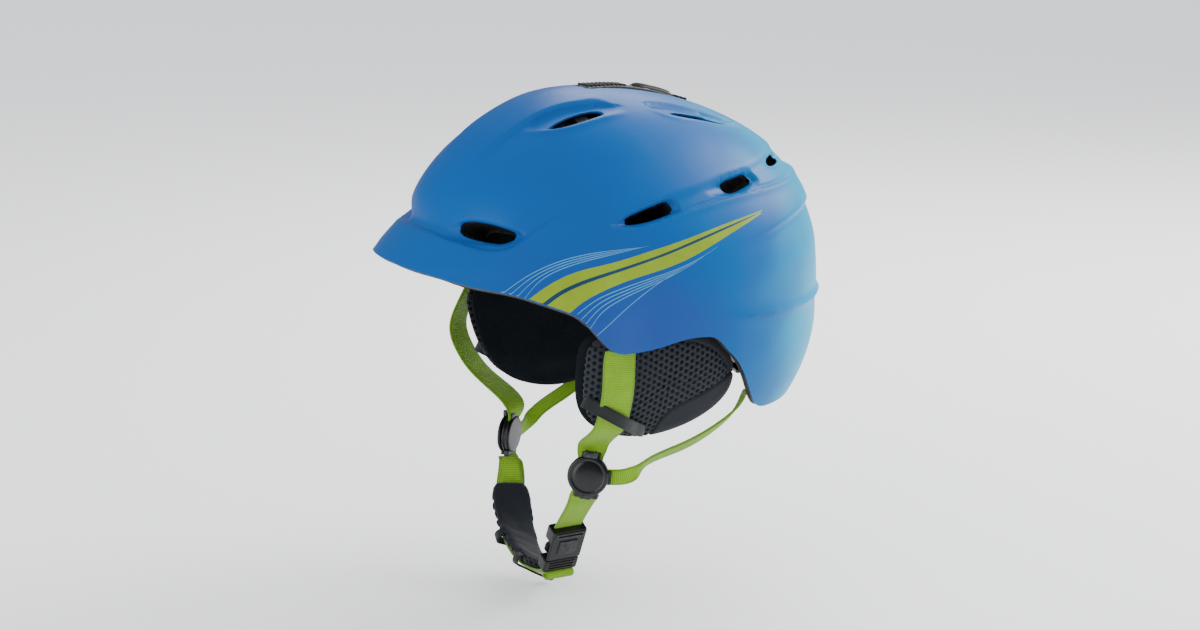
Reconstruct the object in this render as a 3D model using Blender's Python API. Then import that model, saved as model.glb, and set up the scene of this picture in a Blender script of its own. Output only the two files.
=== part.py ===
"""Ski helmet: hard shell over a foam liner, sliding top vents, rear fit dial, fabric ear flaps,
webbing harness with round strap dividers, padded chin strap and a side-release buckle.

Lengths are millimetres in a design frame whose z = 0 is the shell's widest level; the wearer
faces -Y and the wearer's left is +X. Everything is moved by LIFT, so that the world origin is
the middle of the crown pad's flat underside, where the head rests.

A place on the shell is given by its angle, in degrees from the front towards the wearer's left,
and its level, which is 0 at the crown and 1 where the shell is widest. A depth is measured
inwards from the shell's outer surface, along its normal."""

import math

import bmesh
import bpy
import numpy as np
from mathutils import Vector

# ---------------------------------------------------------------- driving dimensions
CROWN_Z = 112.0  # top of the shell
SHELL_WALL = 2.2
LINER_GAP = 1.7  # shell to foam
FOAM_TOP = SHELL_WALL + LINER_GAP  # depth of the foam's outer face
FOAM_WALL = 23.0  # foam thickness at the crown
CROWN_PAD_Z = 78.0  # flat underside of the crown pad
WEB_WIDTH, WEB_THICK = 20.0, 1.6  # webbing
LIFT = Vector((0.0, 0.0, -CROWN_PAD_Z))

SIDES = {"left": 1, "right": -1}
X, Y, Z = (1, 0, 0), (0, 1, 0), (0, 0, 1)

# Top-view half-lengths, half-widths and shift along y: levels, then lengths
FRONT = ([0, 0.2, 0.4, 0.6, 0.8, 0.95, 1.1, 1.3], [112, 115, 122, 128, 131, 132, 131, 130])
REAR = (
    [0, 0.2, 0.4, 0.6, 0.8, 1.0, 1.2, 1.4, 1.6],
    [140, 148, 156, 158, 153, 147, 146, 140, 127],
)
SIDE = (
    [0, 0.2, 0.4, 0.6, 0.8, 1.0, 1.2, 1.4, 1.6],
    [99, 100, 102, 105, 108, 109, 108, 105, 99],
)
SHIFT = ([0, 0.5, 1.0, 1.6], [-16, -8, 0, 0])

BRIM_REACH = 17.0
BRIM_START, BRIM_FULL = 0.80, 0.94  # levels where the brim starts and where it is full
BRIM_SPREAD = 80  # degrees to each side of the front

# Lower edges of the shell and the foam: angles from the front, then levels
SHELL_EDGE = (
    [0, 12, 20, 30, 40, 46, 52, 56, 59, 62, 65, 70,
     79, 89, 98, 102, 106, 111, 116, 123, 132, 145, 160, 180],
    [0.935, 0.94, 0.947, 0.965, 0.985, 1.01, 1.04, 1.07, 1.115, 1.165, 1.20, 1.215,
     1.21, 1.19, 1.19, 1.205, 1.25, 1.31, 1.405, 1.54, 1.59, 1.59, 1.56, 1.50],
)
FOAM_EDGE = (
    [0, 20, 34, 46, 54, 62, 80, 100, 112, 120, 127, 133, 140, 150, 165, 180],
    [0.905, 0.915, 0.94, 0.975, 1.02, 1.07, 1.09, 1.09,
     1.11, 1.17, 1.31, 1.46, 1.54, 1.55, 1.52, 1.46],
)
EDGE_STEP = 0.036  # least difference in level between the two edges

# Corners (angle, level) of the vents on the left side
VENTS = {
    "front": [(16.5, 0.792), (18.5, 0.765), (35.5, 0.775), (37.5, 0.795), (34.0, 0.818),
              (19.0, 0.812)],
    "scoop": [(38.0, 0.392), (42.0, 0.352), (55.5, 0.305), (70.0, 0.285), (76.0, 0.305),
              (64.0, 0.335), (50.0, 0.385)],
    "rear_scoop": [(131.0, 0.335), (141.0, 0.325), (152.0, 0.375), (158.0, 0.435),
                   (152.0, 0.445), (140.0, 0.395)],
    "side": [(70.5, 0.748), (74.0, 0.728), (90.0, 0.690), (92.0, 0.728), (79.5, 0.762),
             (72.5, 0.762)],
    "rear_side": [(116.0, 0.662), (119.0, 0.640), (131.5, 0.622), (134.5, 0.655),
                  (122.0, 0.690)],
    "back": [(149.0, 0.628), (151.0, 0.592), (162.0, 0.590), (163.0, 0.628)],
}


# ---------------------------------------------------------------- maths
def spline(stations, values):
    """Natural cubic through the points, straight beyond its ends."""
    xs, ys = np.asarray(stations, float), np.asarray(values, float)
    count, gaps = len(xs), np.diff(xs)
    matrix, right = np.eye(count), np.zeros(count)
    for i in range(1, count - 1):
        matrix[i, i - 1 : i + 2] = gaps[i - 1], 2 * (gaps[i - 1] + gaps[i]), gaps[i]
        right[i] = 6 * ((ys[i + 1] - ys[i]) / gaps[i] - (ys[i] - ys[i - 1]) / gaps[i - 1])
    bend = np.linalg.solve(matrix, right)
    first_slope = (ys[1] - ys[0]) / gaps[0] - gaps[0] * bend[1] / 6
    last_slope = (ys[-1] - ys[-2]) / gaps[-1] + gaps[-1] * bend[-2] / 6

    def at(x):
        x = np.asarray(x, float)
        held = np.clip(x, xs[0], xs[-1])
        i = np.clip(np.searchsorted(xs, held, side="right") - 1, 0, count - 2)
        past, ahead, gap = held - xs[i], xs[i + 1] - held, gaps[i]
        y = (bend[i] * ahead**3 + bend[i + 1] * past**3) / (6 * gap)
        y = y + (ys[i] / gap - bend[i] * gap / 6) * ahead
        y = y + (ys[i + 1] / gap - bend[i + 1] * gap / 6) * past
        y = y + np.minimum(x - xs[0], 0) * first_slope
        return y + np.maximum(x - xs[-1], 0) * last_slope

    return at


def ramp(start, end, x):
    """Smooth step from 0 at start to 1 at end."""
    t = np.clip((np.asarray(x, float) - start) / (end - start), 0, 1)
    return t * t * (3 - 2 * t)


def basis(direction, hint):
    """Three unit vectors: the direction, one near the hint, and one across both."""
    first = Vector(direction).normalized()
    second = Vector(hint)
    second = (second - first * second.dot(first)).normalized()
    return first, second, first.cross(second)


# ---------------------------------------------------------------- form of the shell
front_length, rear_length, half_width, shift = (
    spline(*table) for table in (FRONT, REAR, SIDE, SHIFT)
)
shell_edge_level, foam_edge_level = spline(*SHELL_EDGE), spline(*FOAM_EDGE)


def from_front(angle):
    return np.abs((np.asarray(angle, float) + 180) % 360 - 180)


def shell_edge(angle):
    return shell_edge_level(from_front(angle))


def foam_edge(angle):
    return np.minimum(foam_edge_level(from_front(angle)), shell_edge(angle) - EDGE_STEP)


def surface(angle, level, brim=True):
    """Points on the shell's outer surface."""
    angle, level = np.broadcast_arrays(np.asarray(angle, float), np.asarray(level, float))
    turn = np.radians(angle)
    # the radius stops growing softly at the widest level
    capped = 1 - np.log1p(np.exp(10 * (1 - level))) / 10
    growth = np.sin(np.pi / 2 * np.maximum(capped, 0))
    ahead, aside = np.cos(turn), np.abs(np.sin(turn))
    power = 2.0 + 0.25 * ramp(0.3, 1.0, level)  # an ellipse at the crown, squarer below
    length = np.where(ahead > 0, front_length(level), rear_length(level))
    oval = (aside / half_width(level)) ** power + (np.abs(ahead) / length) ** power
    radius = growth * oval ** (-1 / power)
    if brim:
        away = np.clip(from_front(angle), 0, BRIM_SPREAD)
        share = np.clip(np.cos(np.radians(away * 90 / BRIM_SPREAD)), 0, 1) ** 1.3
        t = np.clip((level - BRIM_START) / (BRIM_FULL - BRIM_START), 0, 2)
        swell = t * t * (2.2 - 1.2 * t) * 0.6 + 0.4 * t
        radius = radius + BRIM_REACH * share * np.where(t < 1, swell, 1 + 1.28 * (t - 1))
    z = CROWN_Z * np.cos(np.pi / 2 * level)
    return np.stack([radius * np.sin(turn), -radius * ahead + shift(level), z], -1)


def inside(angle, level, depth, brim=True):
    """Points at a depth under the outer surface; a negative depth is outside it."""
    angle, level = np.broadcast_arrays(np.asarray(angle, float), np.asarray(level, float))
    level = np.maximum(level, 0.012)  # the normal is undefined at the crown itself
    around = surface(angle + 0.5, level, brim) - surface(angle - 0.5, level, brim)
    down = surface(angle, level + 0.004, brim) - surface(angle, level - 0.004, brim)
    normal = np.cross(down, around)
    normal /= np.linalg.norm(normal, axis=-1, keepdims=True)
    return surface(angle, level, brim) - normal * np.asarray(depth, float)[..., None]


def top_height(x, y, depth):
    """Height of the surface at a depth, over a point near the crown, by Newton steps."""
    x, y, depth = np.broadcast_arrays(*(np.asarray(v, float) for v in (x, y, depth)))
    guess = np.stack([x / 100.0, (y + 14) / 120.0], -1)  # flat coordinates over the crown

    def place(flat):
        angle = np.degrees(np.arctan2(flat[..., 0], -flat[..., 1]))
        level = np.maximum(np.hypot(flat[..., 0], flat[..., 1]) / (np.pi / 2), 1e-3)
        return inside(angle, level, depth, False)

    step = 0.03
    for _ in range(12):
        point = place(guess)
        miss_x, miss_y = x - point[..., 0], y - point[..., 1]
        across = (place(guess + [step, 0]) - place(guess - [step, 0])) / 2
        along = (place(guess + [0, step]) - place(guess - [0, step])) / 2
        xu, xv, yu, yv = across[..., 0], along[..., 0], across[..., 1], along[..., 1]
        det = xu * yv - xv * yu
        move = [(yv * miss_x - xv * miss_y) / det, (xu * miss_y - yu * miss_x) / det]
        guess = guess + step * np.stack(move, -1)
    return place(guess)[..., 2]


def height_at(depth):
    """top_height at one depth, as a function of x and y."""
    return lambda x, y: top_height(x, y, depth)


def foam_inner(angle, level):
    """Depth of the foam's inner face: more at front and back, less at the lower rear edge."""
    ahead = np.cos(np.radians(angle))
    front, rear = np.clip(ahead, 0, 1), np.clip(-ahead, 0, 1)
    body = ramp(0.15, 0.7, level)
    wall = FOAM_WALL + 4 * front**2 * body + 10 * rear**2 * body
    return FOAM_TOP + wall - 13 * ramp(1.05, 1.5, level) * rear**0.7


def shell_x(y, z):
    """Half-width of the shell at y and z."""
    angle = np.linspace(2, 178, 177)
    y, z = np.broadcast_arrays(np.asarray(y, float), np.asarray(z, float))
    out = np.empty(y.shape)
    for i in np.ndindex(y.shape):
        points = surface(angle, math.acos(z[i] / CROWN_Z) * 2 / math.pi, False)
        out[i] = np.interp(y[i], points[:, 1], points[:, 0])
    return out


# ---------------------------------------------------------------- scene and materials
for old in list(bpy.data.objects):
    bpy.data.objects.remove(old, do_unlink=True)

# name: base colour, roughness, metallic
FINISHES = {
    "shell_blue": ((0.0, 0.16, 0.50), 0.35, 0.0),
    "foam_black": ((0.012, 0.012, 0.014), 0.9, 0.0),
    "plastic_black": ((0.010, 0.010, 0.012), 0.4, 0.0),
    "rubber_black": ((0.015, 0.015, 0.017), 0.7, 0.0),
    "mesh_slate": ((0.045, 0.052, 0.062), 0.85, 0.0),
    "fleece_navy": ((0.020, 0.040, 0.060), 0.95, 0.0),
    "elastic_grey": ((0.060, 0.075, 0.080), 0.8, 0.0),
    "webbing_lime": ((0.33, 0.55, 0.035), 0.75, 0.0),
    "steel": ((0.55, 0.56, 0.58), 0.3, 1.0),
}


def make_material(name, colour, roughness, metallic):
    material = bpy.data.materials.new(name)
    material.use_nodes = True
    inputs = material.node_tree.nodes["Principled BSDF"].inputs
    inputs["Base Color"].default_value = (*colour, 1)
    inputs["Roughness"].default_value = roughness
    inputs["Metallic"].default_value = metallic
    material.diffuse_color = (*colour, 1)
    return material


materials = {name: make_material(name, *finish) for name, finish in FINISHES.items()}
axis_places = {}  # world places of the empties, by name


def axis_empty(name, point, parent=None):
    """An empty on a joint's axis, given in the design frame."""
    empty = bpy.data.objects.new(name, None)
    empty.empty_display_size = 0.02
    bpy.context.collection.objects.link(empty)
    place = (Vector(point) + LIFT) / 1000
    empty.parent = parent
    empty.location = place - axis_places[parent.name] if parent else place
    axis_places[name] = place
    return empty


frame = axis_empty("helmet_frame", (0, 0, CROWN_PAD_Z))


def solid(name, shape, finish, parent=frame, smooth=40.0):
    """An object under an axis, from the (points, faces) of a closed solid.
    Edges sharper than smooth degrees stay hard; 0 leaves the whole solid flat shaded."""
    points, faces = shape
    bm = bmesh.new()
    for point in np.asarray(points, float).reshape(-1, 3):
        bm.verts.new((Vector(point) + LIFT) / 1000 - axis_places[parent.name])
    bm.verts.ensure_lookup_table()
    for face in faces:
        bm.faces.new([bm.verts[i] for i in face])
    bmesh.ops.recalc_face_normals(bm, faces=bm.faces)
    mesh = bpy.data.meshes.new(name)
    bm.to_mesh(mesh)
    bm.free()
    if smooth:
        mesh.shade_smooth()
        mesh.set_sharp_from_angle(angle=math.radians(smooth))
    mesh.materials.append(materials[finish])
    obj = bpy.data.objects.new(name, mesh)
    bpy.context.collection.objects.link(obj)
    obj.parent = parent
    return obj


def combine(body, name, shape, operation, finish="plastic_black", parent=frame):
    """Build a hidden helper solid and combine it with the body."""
    helper = solid(name, shape, finish, parent, 0)
    helper.hide_render = True
    helper.display_type = "WIRE"
    modifier = body.modifiers.new("cut_" + name, "BOOLEAN")
    modifier.operation = operation
    modifier.solver = "EXACT"
    modifier.object = helper


def cut(body, name, shape, parent=frame):
    combine(body, name, shape, "DIFFERENCE", parent=parent)


def merge(body, name, shape, parent, finish="plastic_black"):
    combine(body, name, shape, "UNION", finish, parent)


def bevel(obj, width):
    modifier = obj.modifiers.new("bevel", "BEVEL")
    modifier.width = width / 1000
    modifier.segments = 2
    modifier.limit_method = "ANGLE"
    modifier.angle_limit = math.radians(35)
    modifier.harden_normals = False


# ---------------------------------------------------------------- solid builders
def ring_faces(rings, size, start=0, closed=False):
    """Quads that join each ring of points to the next one."""
    faces = []
    for i in range(rings if closed else rings - 1):
        here, there = start + size * i, start + size * ((i + 1) % rings)
        for j in range(size):
            k = (j + 1) % size
            faces.append((here + j, here + k, there + k, there + j))
    return faces


def tube_faces(rings, size):
    """Ring faces with a flat cap at each end."""
    last = size * (rings - 1)
    caps = [tuple(range(size)), tuple(range(last + size - 1, last - 1, -1))]
    return ring_faces(rings, size) + caps


def dome(depth_out, depth_in, edge, cols, rows, brim_in=True):
    """A bowl between two depths under the shell, open at the bottom."""
    angle = np.arange(cols) * 360.0 / cols
    level = np.linspace(0, 1, rows + 1)[1:, None] * edge(angle)[None, :]
    angle = np.broadcast_to(angle, level.shape)
    outer = inside(angle, level, depth_out(angle, level))
    inner = inside(angle, level, depth_in(angle, level), brim_in)
    top_y = surface(0.0, 1e-4)[1]
    tops = [[0, top_y, CROWN_Z - depth(0.0, 0.0)] for depth in (depth_out, depth_in)]
    points = np.concatenate([tops, outer.reshape(-1, 3), inner.reshape(-1, 3)])
    out, inn = 2, 2 + rows * cols
    rim = (rows - 1) * cols
    faces = []
    for j in range(cols):
        k = (j + 1) % cols
        faces += [(0, out + j, out + k), (1, inn + k, inn + j)]
        for row in range(0, rim, cols):
            a, b, c, d = row + j, row + k, row + cols + k, row + cols + j
            faces.append((out + a, out + d, out + c, out + b))
            faces.append((inn + a, inn + b, inn + c, inn + d))
        faces.append((out + rim + j, inn + rim + j, inn + rim + k, out + rim + k))
    return points, faces


def slab(top, bottom):
    """A closed solid between two (rows, cols, 3) point grids."""
    rows, cols = top.shape[:2]
    count = rows * cols
    faces = []

    def wall(a, b):
        faces.append((a, count + a, count + b, b))

    for row in range(0, count - cols, cols):
        for a in range(row, row + cols - 1):
            quad = (a, a + cols, a + cols + 1, a + 1)
            faces.extend([quad, tuple(count + i for i in reversed(quad))])
        wall(row, row + cols)
        wall(row + 2 * cols - 1, row + cols - 1)
    for j in range(cols - 1):
        wall(j + 1, j)
        wall(count - cols + j, count - cols + j + 1)
    return np.concatenate([top.reshape(-1, 3), bottom.reshape(-1, 3)]), faces


def cells(xs, ys, keep, upper, lower):
    """A closed solid over the kept cells of an x, y grid, between two heights."""
    xs, ys = np.asarray(xs, float), np.asarray(ys, float)
    grid_x, grid_y = np.meshgrid(xs, ys, indexing="ij")
    heights = lower(grid_x, grid_y), upper(grid_x, grid_y)
    kept = {
        (i, j)
        for i in range(len(xs) - 1)
        for j in range(len(ys) - 1)
        if keep((xs[i] + xs[i + 1]) / 2, (ys[j] + ys[j + 1]) / 2)
    }
    index, points, faces = {}, [], []

    def corner(i, j, side):
        key = (i, j, side)
        if key not in index:
            index[key] = len(points)
            points.append((grid_x[i, j], grid_y[i, j], heights[side][i, j]))
        return index[key]

    for i, j in sorted(kept):
        ring = [(i, j), (i + 1, j), (i + 1, j + 1), (i, j + 1)]
        faces.append([corner(*at, 1) for at in ring])
        faces.append([corner(*at, 0) for at in reversed(ring)])
        for step, other in enumerate([(i, j - 1), (i + 1, j), (i, j + 1), (i - 1, j)]):
            if other not in kept:
                a, b = ring[step], ring[(step + 1) % 4]
                faces.append([corner(*b, 1), corner(*a, 1), corner(*a, 0), corner(*b, 0)])
    return points, faces


def strap_frames(points, across, count):
    """Centres, tangents, width directions and normals along a smooth strap."""
    # the width direction is scaled to a length, so that a twist takes up steps too
    both = np.concatenate([np.asarray(points, float), 40 * np.asarray(across, float)], 1)
    spans = np.linalg.norm(np.diff(both, axis=0), axis=1)
    travel = np.concatenate([[0], np.cumsum(spans)])
    steps = np.linspace(0, travel[-1], count)
    both = np.stack([spline(travel, column)(steps) for column in both.T], -1)
    centres, widths = both[:, :3], both[:, 3:]
    runs = np.gradient(centres, axis=0)
    runs /= np.linalg.norm(runs, axis=1, keepdims=True)
    widths = widths - runs * (widths * runs).sum(1, keepdims=True)
    widths /= np.linalg.norm(widths, axis=1, keepdims=True)
    return centres, runs, widths, np.cross(widths, runs)


def ribbon(frames, width, thick, rise=0.0):
    """A strap along its frames; width is one number or one per frame, rise is along the normal."""
    centres, _, widths, normals = frames
    half = widths * (np.ones(len(centres)) * width / 2)[:, None]
    high, low = normals * (rise + thick / 2), normals * (rise - thick / 2)
    corners = [
        centres + half + high, centres - half + high,
        centres - half + low, centres + half + low,
    ]
    return np.stack(corners, 1).reshape(-1, 3), tube_faces(len(centres), 4)


def prism(outline, origin, axes, low, high):
    """An outline in the plane of the first two axes, drawn out along the third."""
    origin, first, second, third = (np.asarray(v, float) for v in (origin, *axes))
    flat = np.asarray([origin + a * first + b * second for a, b in outline])
    return np.concatenate([flat + third * low, flat + third * high]), tube_faces(2, len(flat))


def block(origin, axes, first, second, third):
    """A box with a (low, high) range along each axis."""
    (a, b), (c, d) = first, second
    return prism([(a, c), (b, c), (b, d), (a, d)], origin, axes, *third)


def circle(radius, count, ripple=0.0, lobes=0):
    turn = np.arange(count) * 2 * math.pi / count
    radii = radius + ripple * np.cos(lobes * turn)
    return list(zip(radii * np.cos(turn), radii * np.sin(turn)))


def turned(profile, origin, axes, count):
    """A solid of revolution about the first axis, from (radius, height) pairs."""
    origin, axis, second, third = (np.asarray(v, float) for v in (origin, *axes))
    points = [origin + axis * profile[0][1], origin + axis * profile[-1][1]]
    for radius, height in profile:
        for a, b in circle(radius, count):
            points.append(origin + axis * height + a * second + b * third)
    faces = ring_faces(len(profile), count, start=2)
    last = 2 + (len(profile) - 1) * count
    for j in range(count):
        k = (j + 1) % count
        faces += [(0, 2 + k, 2 + j), (1, last + j, last + k)]
    return points, faces


def strap(name, points, across, count, parent, width=WEB_WIDTH):
    """A webbing strap; returns its frames."""
    frames = strap_frames(points, across, count)
    solid(name, ribbon(frames, width, WEB_THICK), "webbing_lime", parent)
    return frames


# ---------------------------------------------------------------- shell, foam and edge band
def outer_shell():
    shape = dome(lambda angle, level: 0.0, lambda angle, level: SHELL_WALL, shell_edge, 60, 11)
    return solid("outer_shell", shape, "shell_blue", smooth=50)


def eps_liner():
    shape = dome(lambda angle, level: FOAM_TOP, foam_inner, foam_edge, 40, 8, brim_in=False)
    return solid("eps_liner", shape, "foam_black")


def vent_prisms(grow):
    """Prisms through the wall over all vents, with their corners moved out by grow."""
    points, faces = [], []
    for corners in VENTS.values():
        angle, level = np.array(corners).T
        centre = angle.mean(), level.mean()
        for side in SIDES.values():
            rim = surface(angle, level, False) * [side, 1, 1]
            normal = inside(*centre, -1.0, False) - surface(*centre, False)
            normal = normal * [side, 1, 1]
            normal /= np.linalg.norm(normal)
            middle = rim.mean(0)
            flat = rim - middle - np.outer((rim - middle) @ normal, normal)
            radius = np.linalg.norm(flat, axis=1, keepdims=True)
            flat *= (radius + grow) / radius
            start = len(points)
            points += [*(middle + flat + normal * 12), *(middle + flat - normal * 52)]
            faces += [tuple(start + i for i in face) for face in tube_faces(2, len(corners))]
    return points, faces


def edge_trim():
    """A band inside the shell, just above its lower edge."""
    cols, half_height = 60, 0.010  # the height is in levels
    near, far = SHELL_WALL + 1.2, SHELL_WALL + 3.1
    angle = np.arange(cols) * 360.0 / cols
    middle = shell_edge(angle) - 0.014
    section = [(half_height, near), (-half_height, near), (-half_height, far), (half_height, far)]
    corners = [inside(angle, middle + offset, depth) for offset, depth in section]
    solid("edge_trim", (np.stack(corners, 1), ring_faces(cols, 4, closed=True)), "rubber_black")


# ---------------------------------------------------------------- vent slider on the crown
SLIDER_Y, SLIDER_Z = -3.0, -37.0  # axis of the arc the slider follows
KNOB_Y = 37.4
GROOVE_HALF, GROOVE_FRONT, GROOVE_REAR = 9.4, -15.5, 63.5
SLOT_HALF, SLOT_FRONT, SLOT_REAR = 3.4, 21.0, 51.0
TRACK_GAP_HALF = 3.5
TRACK_GAP = (20.6, 51.4)  # ends of the track's opening around the slot
TRACK_X = [-8.8, -6.4, -TRACK_GAP_HALF, TRACK_GAP_HALF, 6.4, 8.8]
TRACK_Y = [-14.8, -12, -9, -6, -3, 0, 3, 6, 9, 12, TRACK_GAP[0], 31, 41, TRACK_GAP[1],
           54, 57, 60, 62.8]
TRACK_RIBS = [-9, -3, 3, 9, 54, 60]  # raised stations of the track
SHUTTER_X = [-55, -51, -46, -41, -36, -31, -20, -8, 8, 20, 31, 36, 41, 46, 51, 55]
SHUTTER_Y = [-67, -62, -54, -46, -38, -30, -22, -14, -9, 4, 17, 30, 44]
SHUTTER_SLOTS = ((-62, -54), (-46, -38), (-30, -22))  # y ranges of the grille's openings
RECESS_X = [-59, -40, -20, -12, 12, 20, 40, 59]
RECESS_Y = [-80, -60, -40, -24, -4, 10, 24, 38, 51]


def slider_openings(shell):
    """A shallow groove in the shell's top and a slot through it."""
    xs = [-GROOVE_HALF, -SLOT_HALF, SLOT_HALF, GROOVE_HALF]
    ys = np.linspace(GROOVE_FRONT, GROOVE_REAR, 12)
    cut(shell, "groove_cutter", cells(xs, ys, lambda x, y: True, height_at(-6), height_at(1.1)))
    slot = block((0, 0, 0), (X, Y, Z), (-SLOT_HALF, SLOT_HALF), (SLOT_FRONT, SLOT_REAR), (88, 125))
    cut(shell, "slot_cutter", slot)


def slider_track():
    def keep(x, y):
        return abs(x) > TRACK_GAP_HALF or not TRACK_GAP[0] < y < TRACK_GAP[1]

    def top(x, y):
        ribs = np.isin(np.round(y, 2), TRACK_RIBS) & (np.abs(x) < 8)
        return top_height(x, y, np.where(ribs, -1.0, 0.0))

    shape = cells(TRACK_X, TRACK_Y, keep, top, height_at(0.75))
    solid("slider_track", shape, "plastic_black", smooth=30)


def on_slider_arc(theta, x, radius):
    theta, x, radius = np.broadcast_arrays(theta, x, radius)
    y, z = SLIDER_Y + radius * np.sin(theta), SLIDER_Z + radius * np.cos(theta)
    return np.stack([x, y, z], -1)


def slider_knob(slider):
    """A ribbed knob with a stem down through the slot."""
    rise = float(top_height(0.0, KNOB_Y, 0.0)) - SLIDER_Z
    middle = math.atan2(KNOB_Y - SLIDER_Y, rise)
    radius = math.hypot(KNOB_Y - SLIDER_Y, rise) + 0.7
    theta, x = np.meshgrid(
        middle + np.linspace(-0.083, 0.083, 13), [-7.0, -5.6, 5.6, 7.0], indexing="ij"
    )
    ribs = 2.1 + 0.9 * (np.arange(13) % 2)[:, None]
    edge_drop = np.where(np.abs(x) > 6, 1.0, 0.0)
    top = on_slider_arc(theta, x, radius + ribs - edge_drop)
    shape = slab(top, on_slider_arc(theta, x, radius + 0.55))
    knob = solid("vent_slider_knob", shape, "plastic_black", slider, 30)

    theta, x = np.meshgrid([middle - 0.05, middle + 0.05], [-2.6, 2.6], indexing="ij")
    stem = slab(on_slider_arc(theta, x, radius + 1.0), on_slider_arc(theta, x, radius - 3.6))
    merge(knob, "stem", stem, slider)


def vent_shutter(slider, liner):
    """A grille plate under the top scoops, with a tongue back to the knob, and its recess."""

    def keep(x, y):
        if y > -9:
            return abs(x) < 8
        return not (31 < abs(x) < 51 and any(a < y < b for a, b in SHUTTER_SLOTS))

    plate = cells(SHUTTER_X, SHUTTER_Y, keep, height_at(4.3), height_at(5.3))
    solid("vent_shutter", plate, "plastic_black", slider, 30)
    recess = cells(
        RECESS_X, RECESS_Y, lambda x, y: y < -4 or abs(x) < 12, height_at(-3), height_at(8.2)
    )
    cut(liner, "shutter_recess", recess)


# ---------------------------------------------------------------- pads inside the foam
def crown_pad():
    """An oval pad with a domed top and a flat underside."""
    count, half_x, half_y = 20, 18.0, 20.0
    top_depth = FOAM_TOP + FOAM_WALL + 1.0
    points = [(0, 0, float(top_height(0.0, 0.0, top_depth))), (0, 0, CROWN_PAD_Z)]
    turns = [2 * math.pi * i / count for i in range(count)]
    for share in (0.45, 0.8, 1.0):
        for turn in turns:
            x, y = half_x * share * math.cos(turn), half_y * share * math.sin(turn)
            points.append((x, y, float(top_height(x, y, top_depth + 1.2 * share * share))))
    points += [(half_x * math.cos(t), half_y * math.sin(t), CROWN_PAD_Z) for t in turns]
    faces = []
    low = 2 + 3 * count
    for i in range(count):
        j = (i + 1) % count
        faces += [(0, 2 + i, 2 + j), (1, low + j, low + i)]
        for here in range(2, low, count):
            there = here + count
            faces.append((here + i, there + i, there + j, here + j))
    solid("crown_pad", (points, faces), "fleece_navy")


def foam_pad(name, angles, levels, gaps, count):
    """A pad between two gaps from the foam's inner face."""
    angle, level = np.meshgrid(np.linspace(*angles, count), np.linspace(*levels, 4), indexing="ij")
    sheets = [inside(angle, level, foam_inner(angle, level) + gap, False) for gap in gaps]
    solid(name, slab(*sheets), "fleece_navy")


# ---------------------------------------------------------------- rear fit system
CRADLE_Y, CRADLE_R = 18.0, 74.0  # rear head cradle: centre and inner radius
DIAL_Z, DIAL_R = -70.0, 17.0
HOUSING_R = 90.0
RACK_OFFSET = 7.4  # middle of each arm's end above or below the dial's axis
DIAL_AXES = (X, Z, Y)  # outlines across the dial's shaft, drawn out along it
# C-shaped section, open towards the head: radius about the cradle's centre, z from the dial
HOUSING_SECTION = [
    (76.7, -14.5), (HOUSING_R, -14.5), (HOUSING_R, 14.5), (76.7, 14.5),
    (76.7, 12.0), (82.4, 12.0), (82.4, -12.0), (76.7, -12.0),
]
# radius, y, depth of the grip's ripple
DIAL_PROFILE = [
    (15.0, 108.8, 0.3), (DIAL_R, 110.2, 0.7), (DIAL_R, 117.0, 0.7), (15.2, 118.8, 0.3),
    (11.0, 119.4, 0.3),
]


def polar(theta, radius, z):
    """Points about the cradle's centre; theta is in radians from the back to the left."""
    theta, radius, z = np.broadcast_arrays(*(np.asarray(v, float) for v in (theta, radius, z)))
    return np.stack([radius * np.sin(theta), CRADLE_Y + radius * np.cos(theta), z], -1)


def cradle_layer(name, finish, reach, count, inset, outer, inner):
    """A curved layer of the cradle between two radii, inset from its upper and lower edges."""
    theta = np.linspace(-reach, reach, count)[:, None]
    low = -76 + 40 * ramp(0.35, 0.9, np.abs(theta))
    high = -26 + 4 * np.cos(3 * theta)
    z = low + inset + (high - low - 2 * inset) * np.linspace(0, 1, 4)
    solid(name, slab(polar(theta, outer, z), polar(theta, inner, z)), finish)


def shaft_cylinder(radius, start, end):
    return prism(circle(radius, 20), (0, 0, DIAL_Z), DIAL_AXES, start, end)


def dial_housing():
    """A channel over the arms' ends, bored for the dial's shaft."""
    radii, heights = np.array(HOUSING_SECTION).T
    turns = np.linspace(-0.30, 0.30, 9)
    points = np.concatenate([polar(turn, radii, DIAL_Z + heights) for turn in turns])
    shape = points, tube_faces(len(turns), len(HOUSING_SECTION))
    cut(solid("dial_housing", shape, "plastic_black"), "shaft_bore", shaft_cylinder(3.4, 90, 125))


def fit_dial():
    """The ten-toothed pinion on its shaft, and the lobed dial."""
    dial = axis_empty("fit_dial_axis", (0, CRADLE_Y + HOUSING_R, DIAL_Z), frame)
    teeth = prism(circle(3.9, 40, 0.55, 10), (0, 0, DIAL_Z), DIAL_AXES, 96.4, 99.6)
    pinion = solid("dial_pinion", teeth, "plastic_black", dial)
    merge(pinion, "shaft", shaft_cylinder(3.0, 98.0, 115.0), dial, "steel")
    count = 48
    points = [
        (x, y, DIAL_Z + z)
        for radius, y, ripple in DIAL_PROFILE
        for x, z in circle(radius, count, ripple, 12)
    ]
    shape = points, tube_faces(len(DIAL_PROFILE), count)
    knob = solid("fit_dial", shape, "plastic_black", dial)
    cut(knob, "dial_bore", shaft_cylinder(3.35, 100, 115.4), dial)


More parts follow.
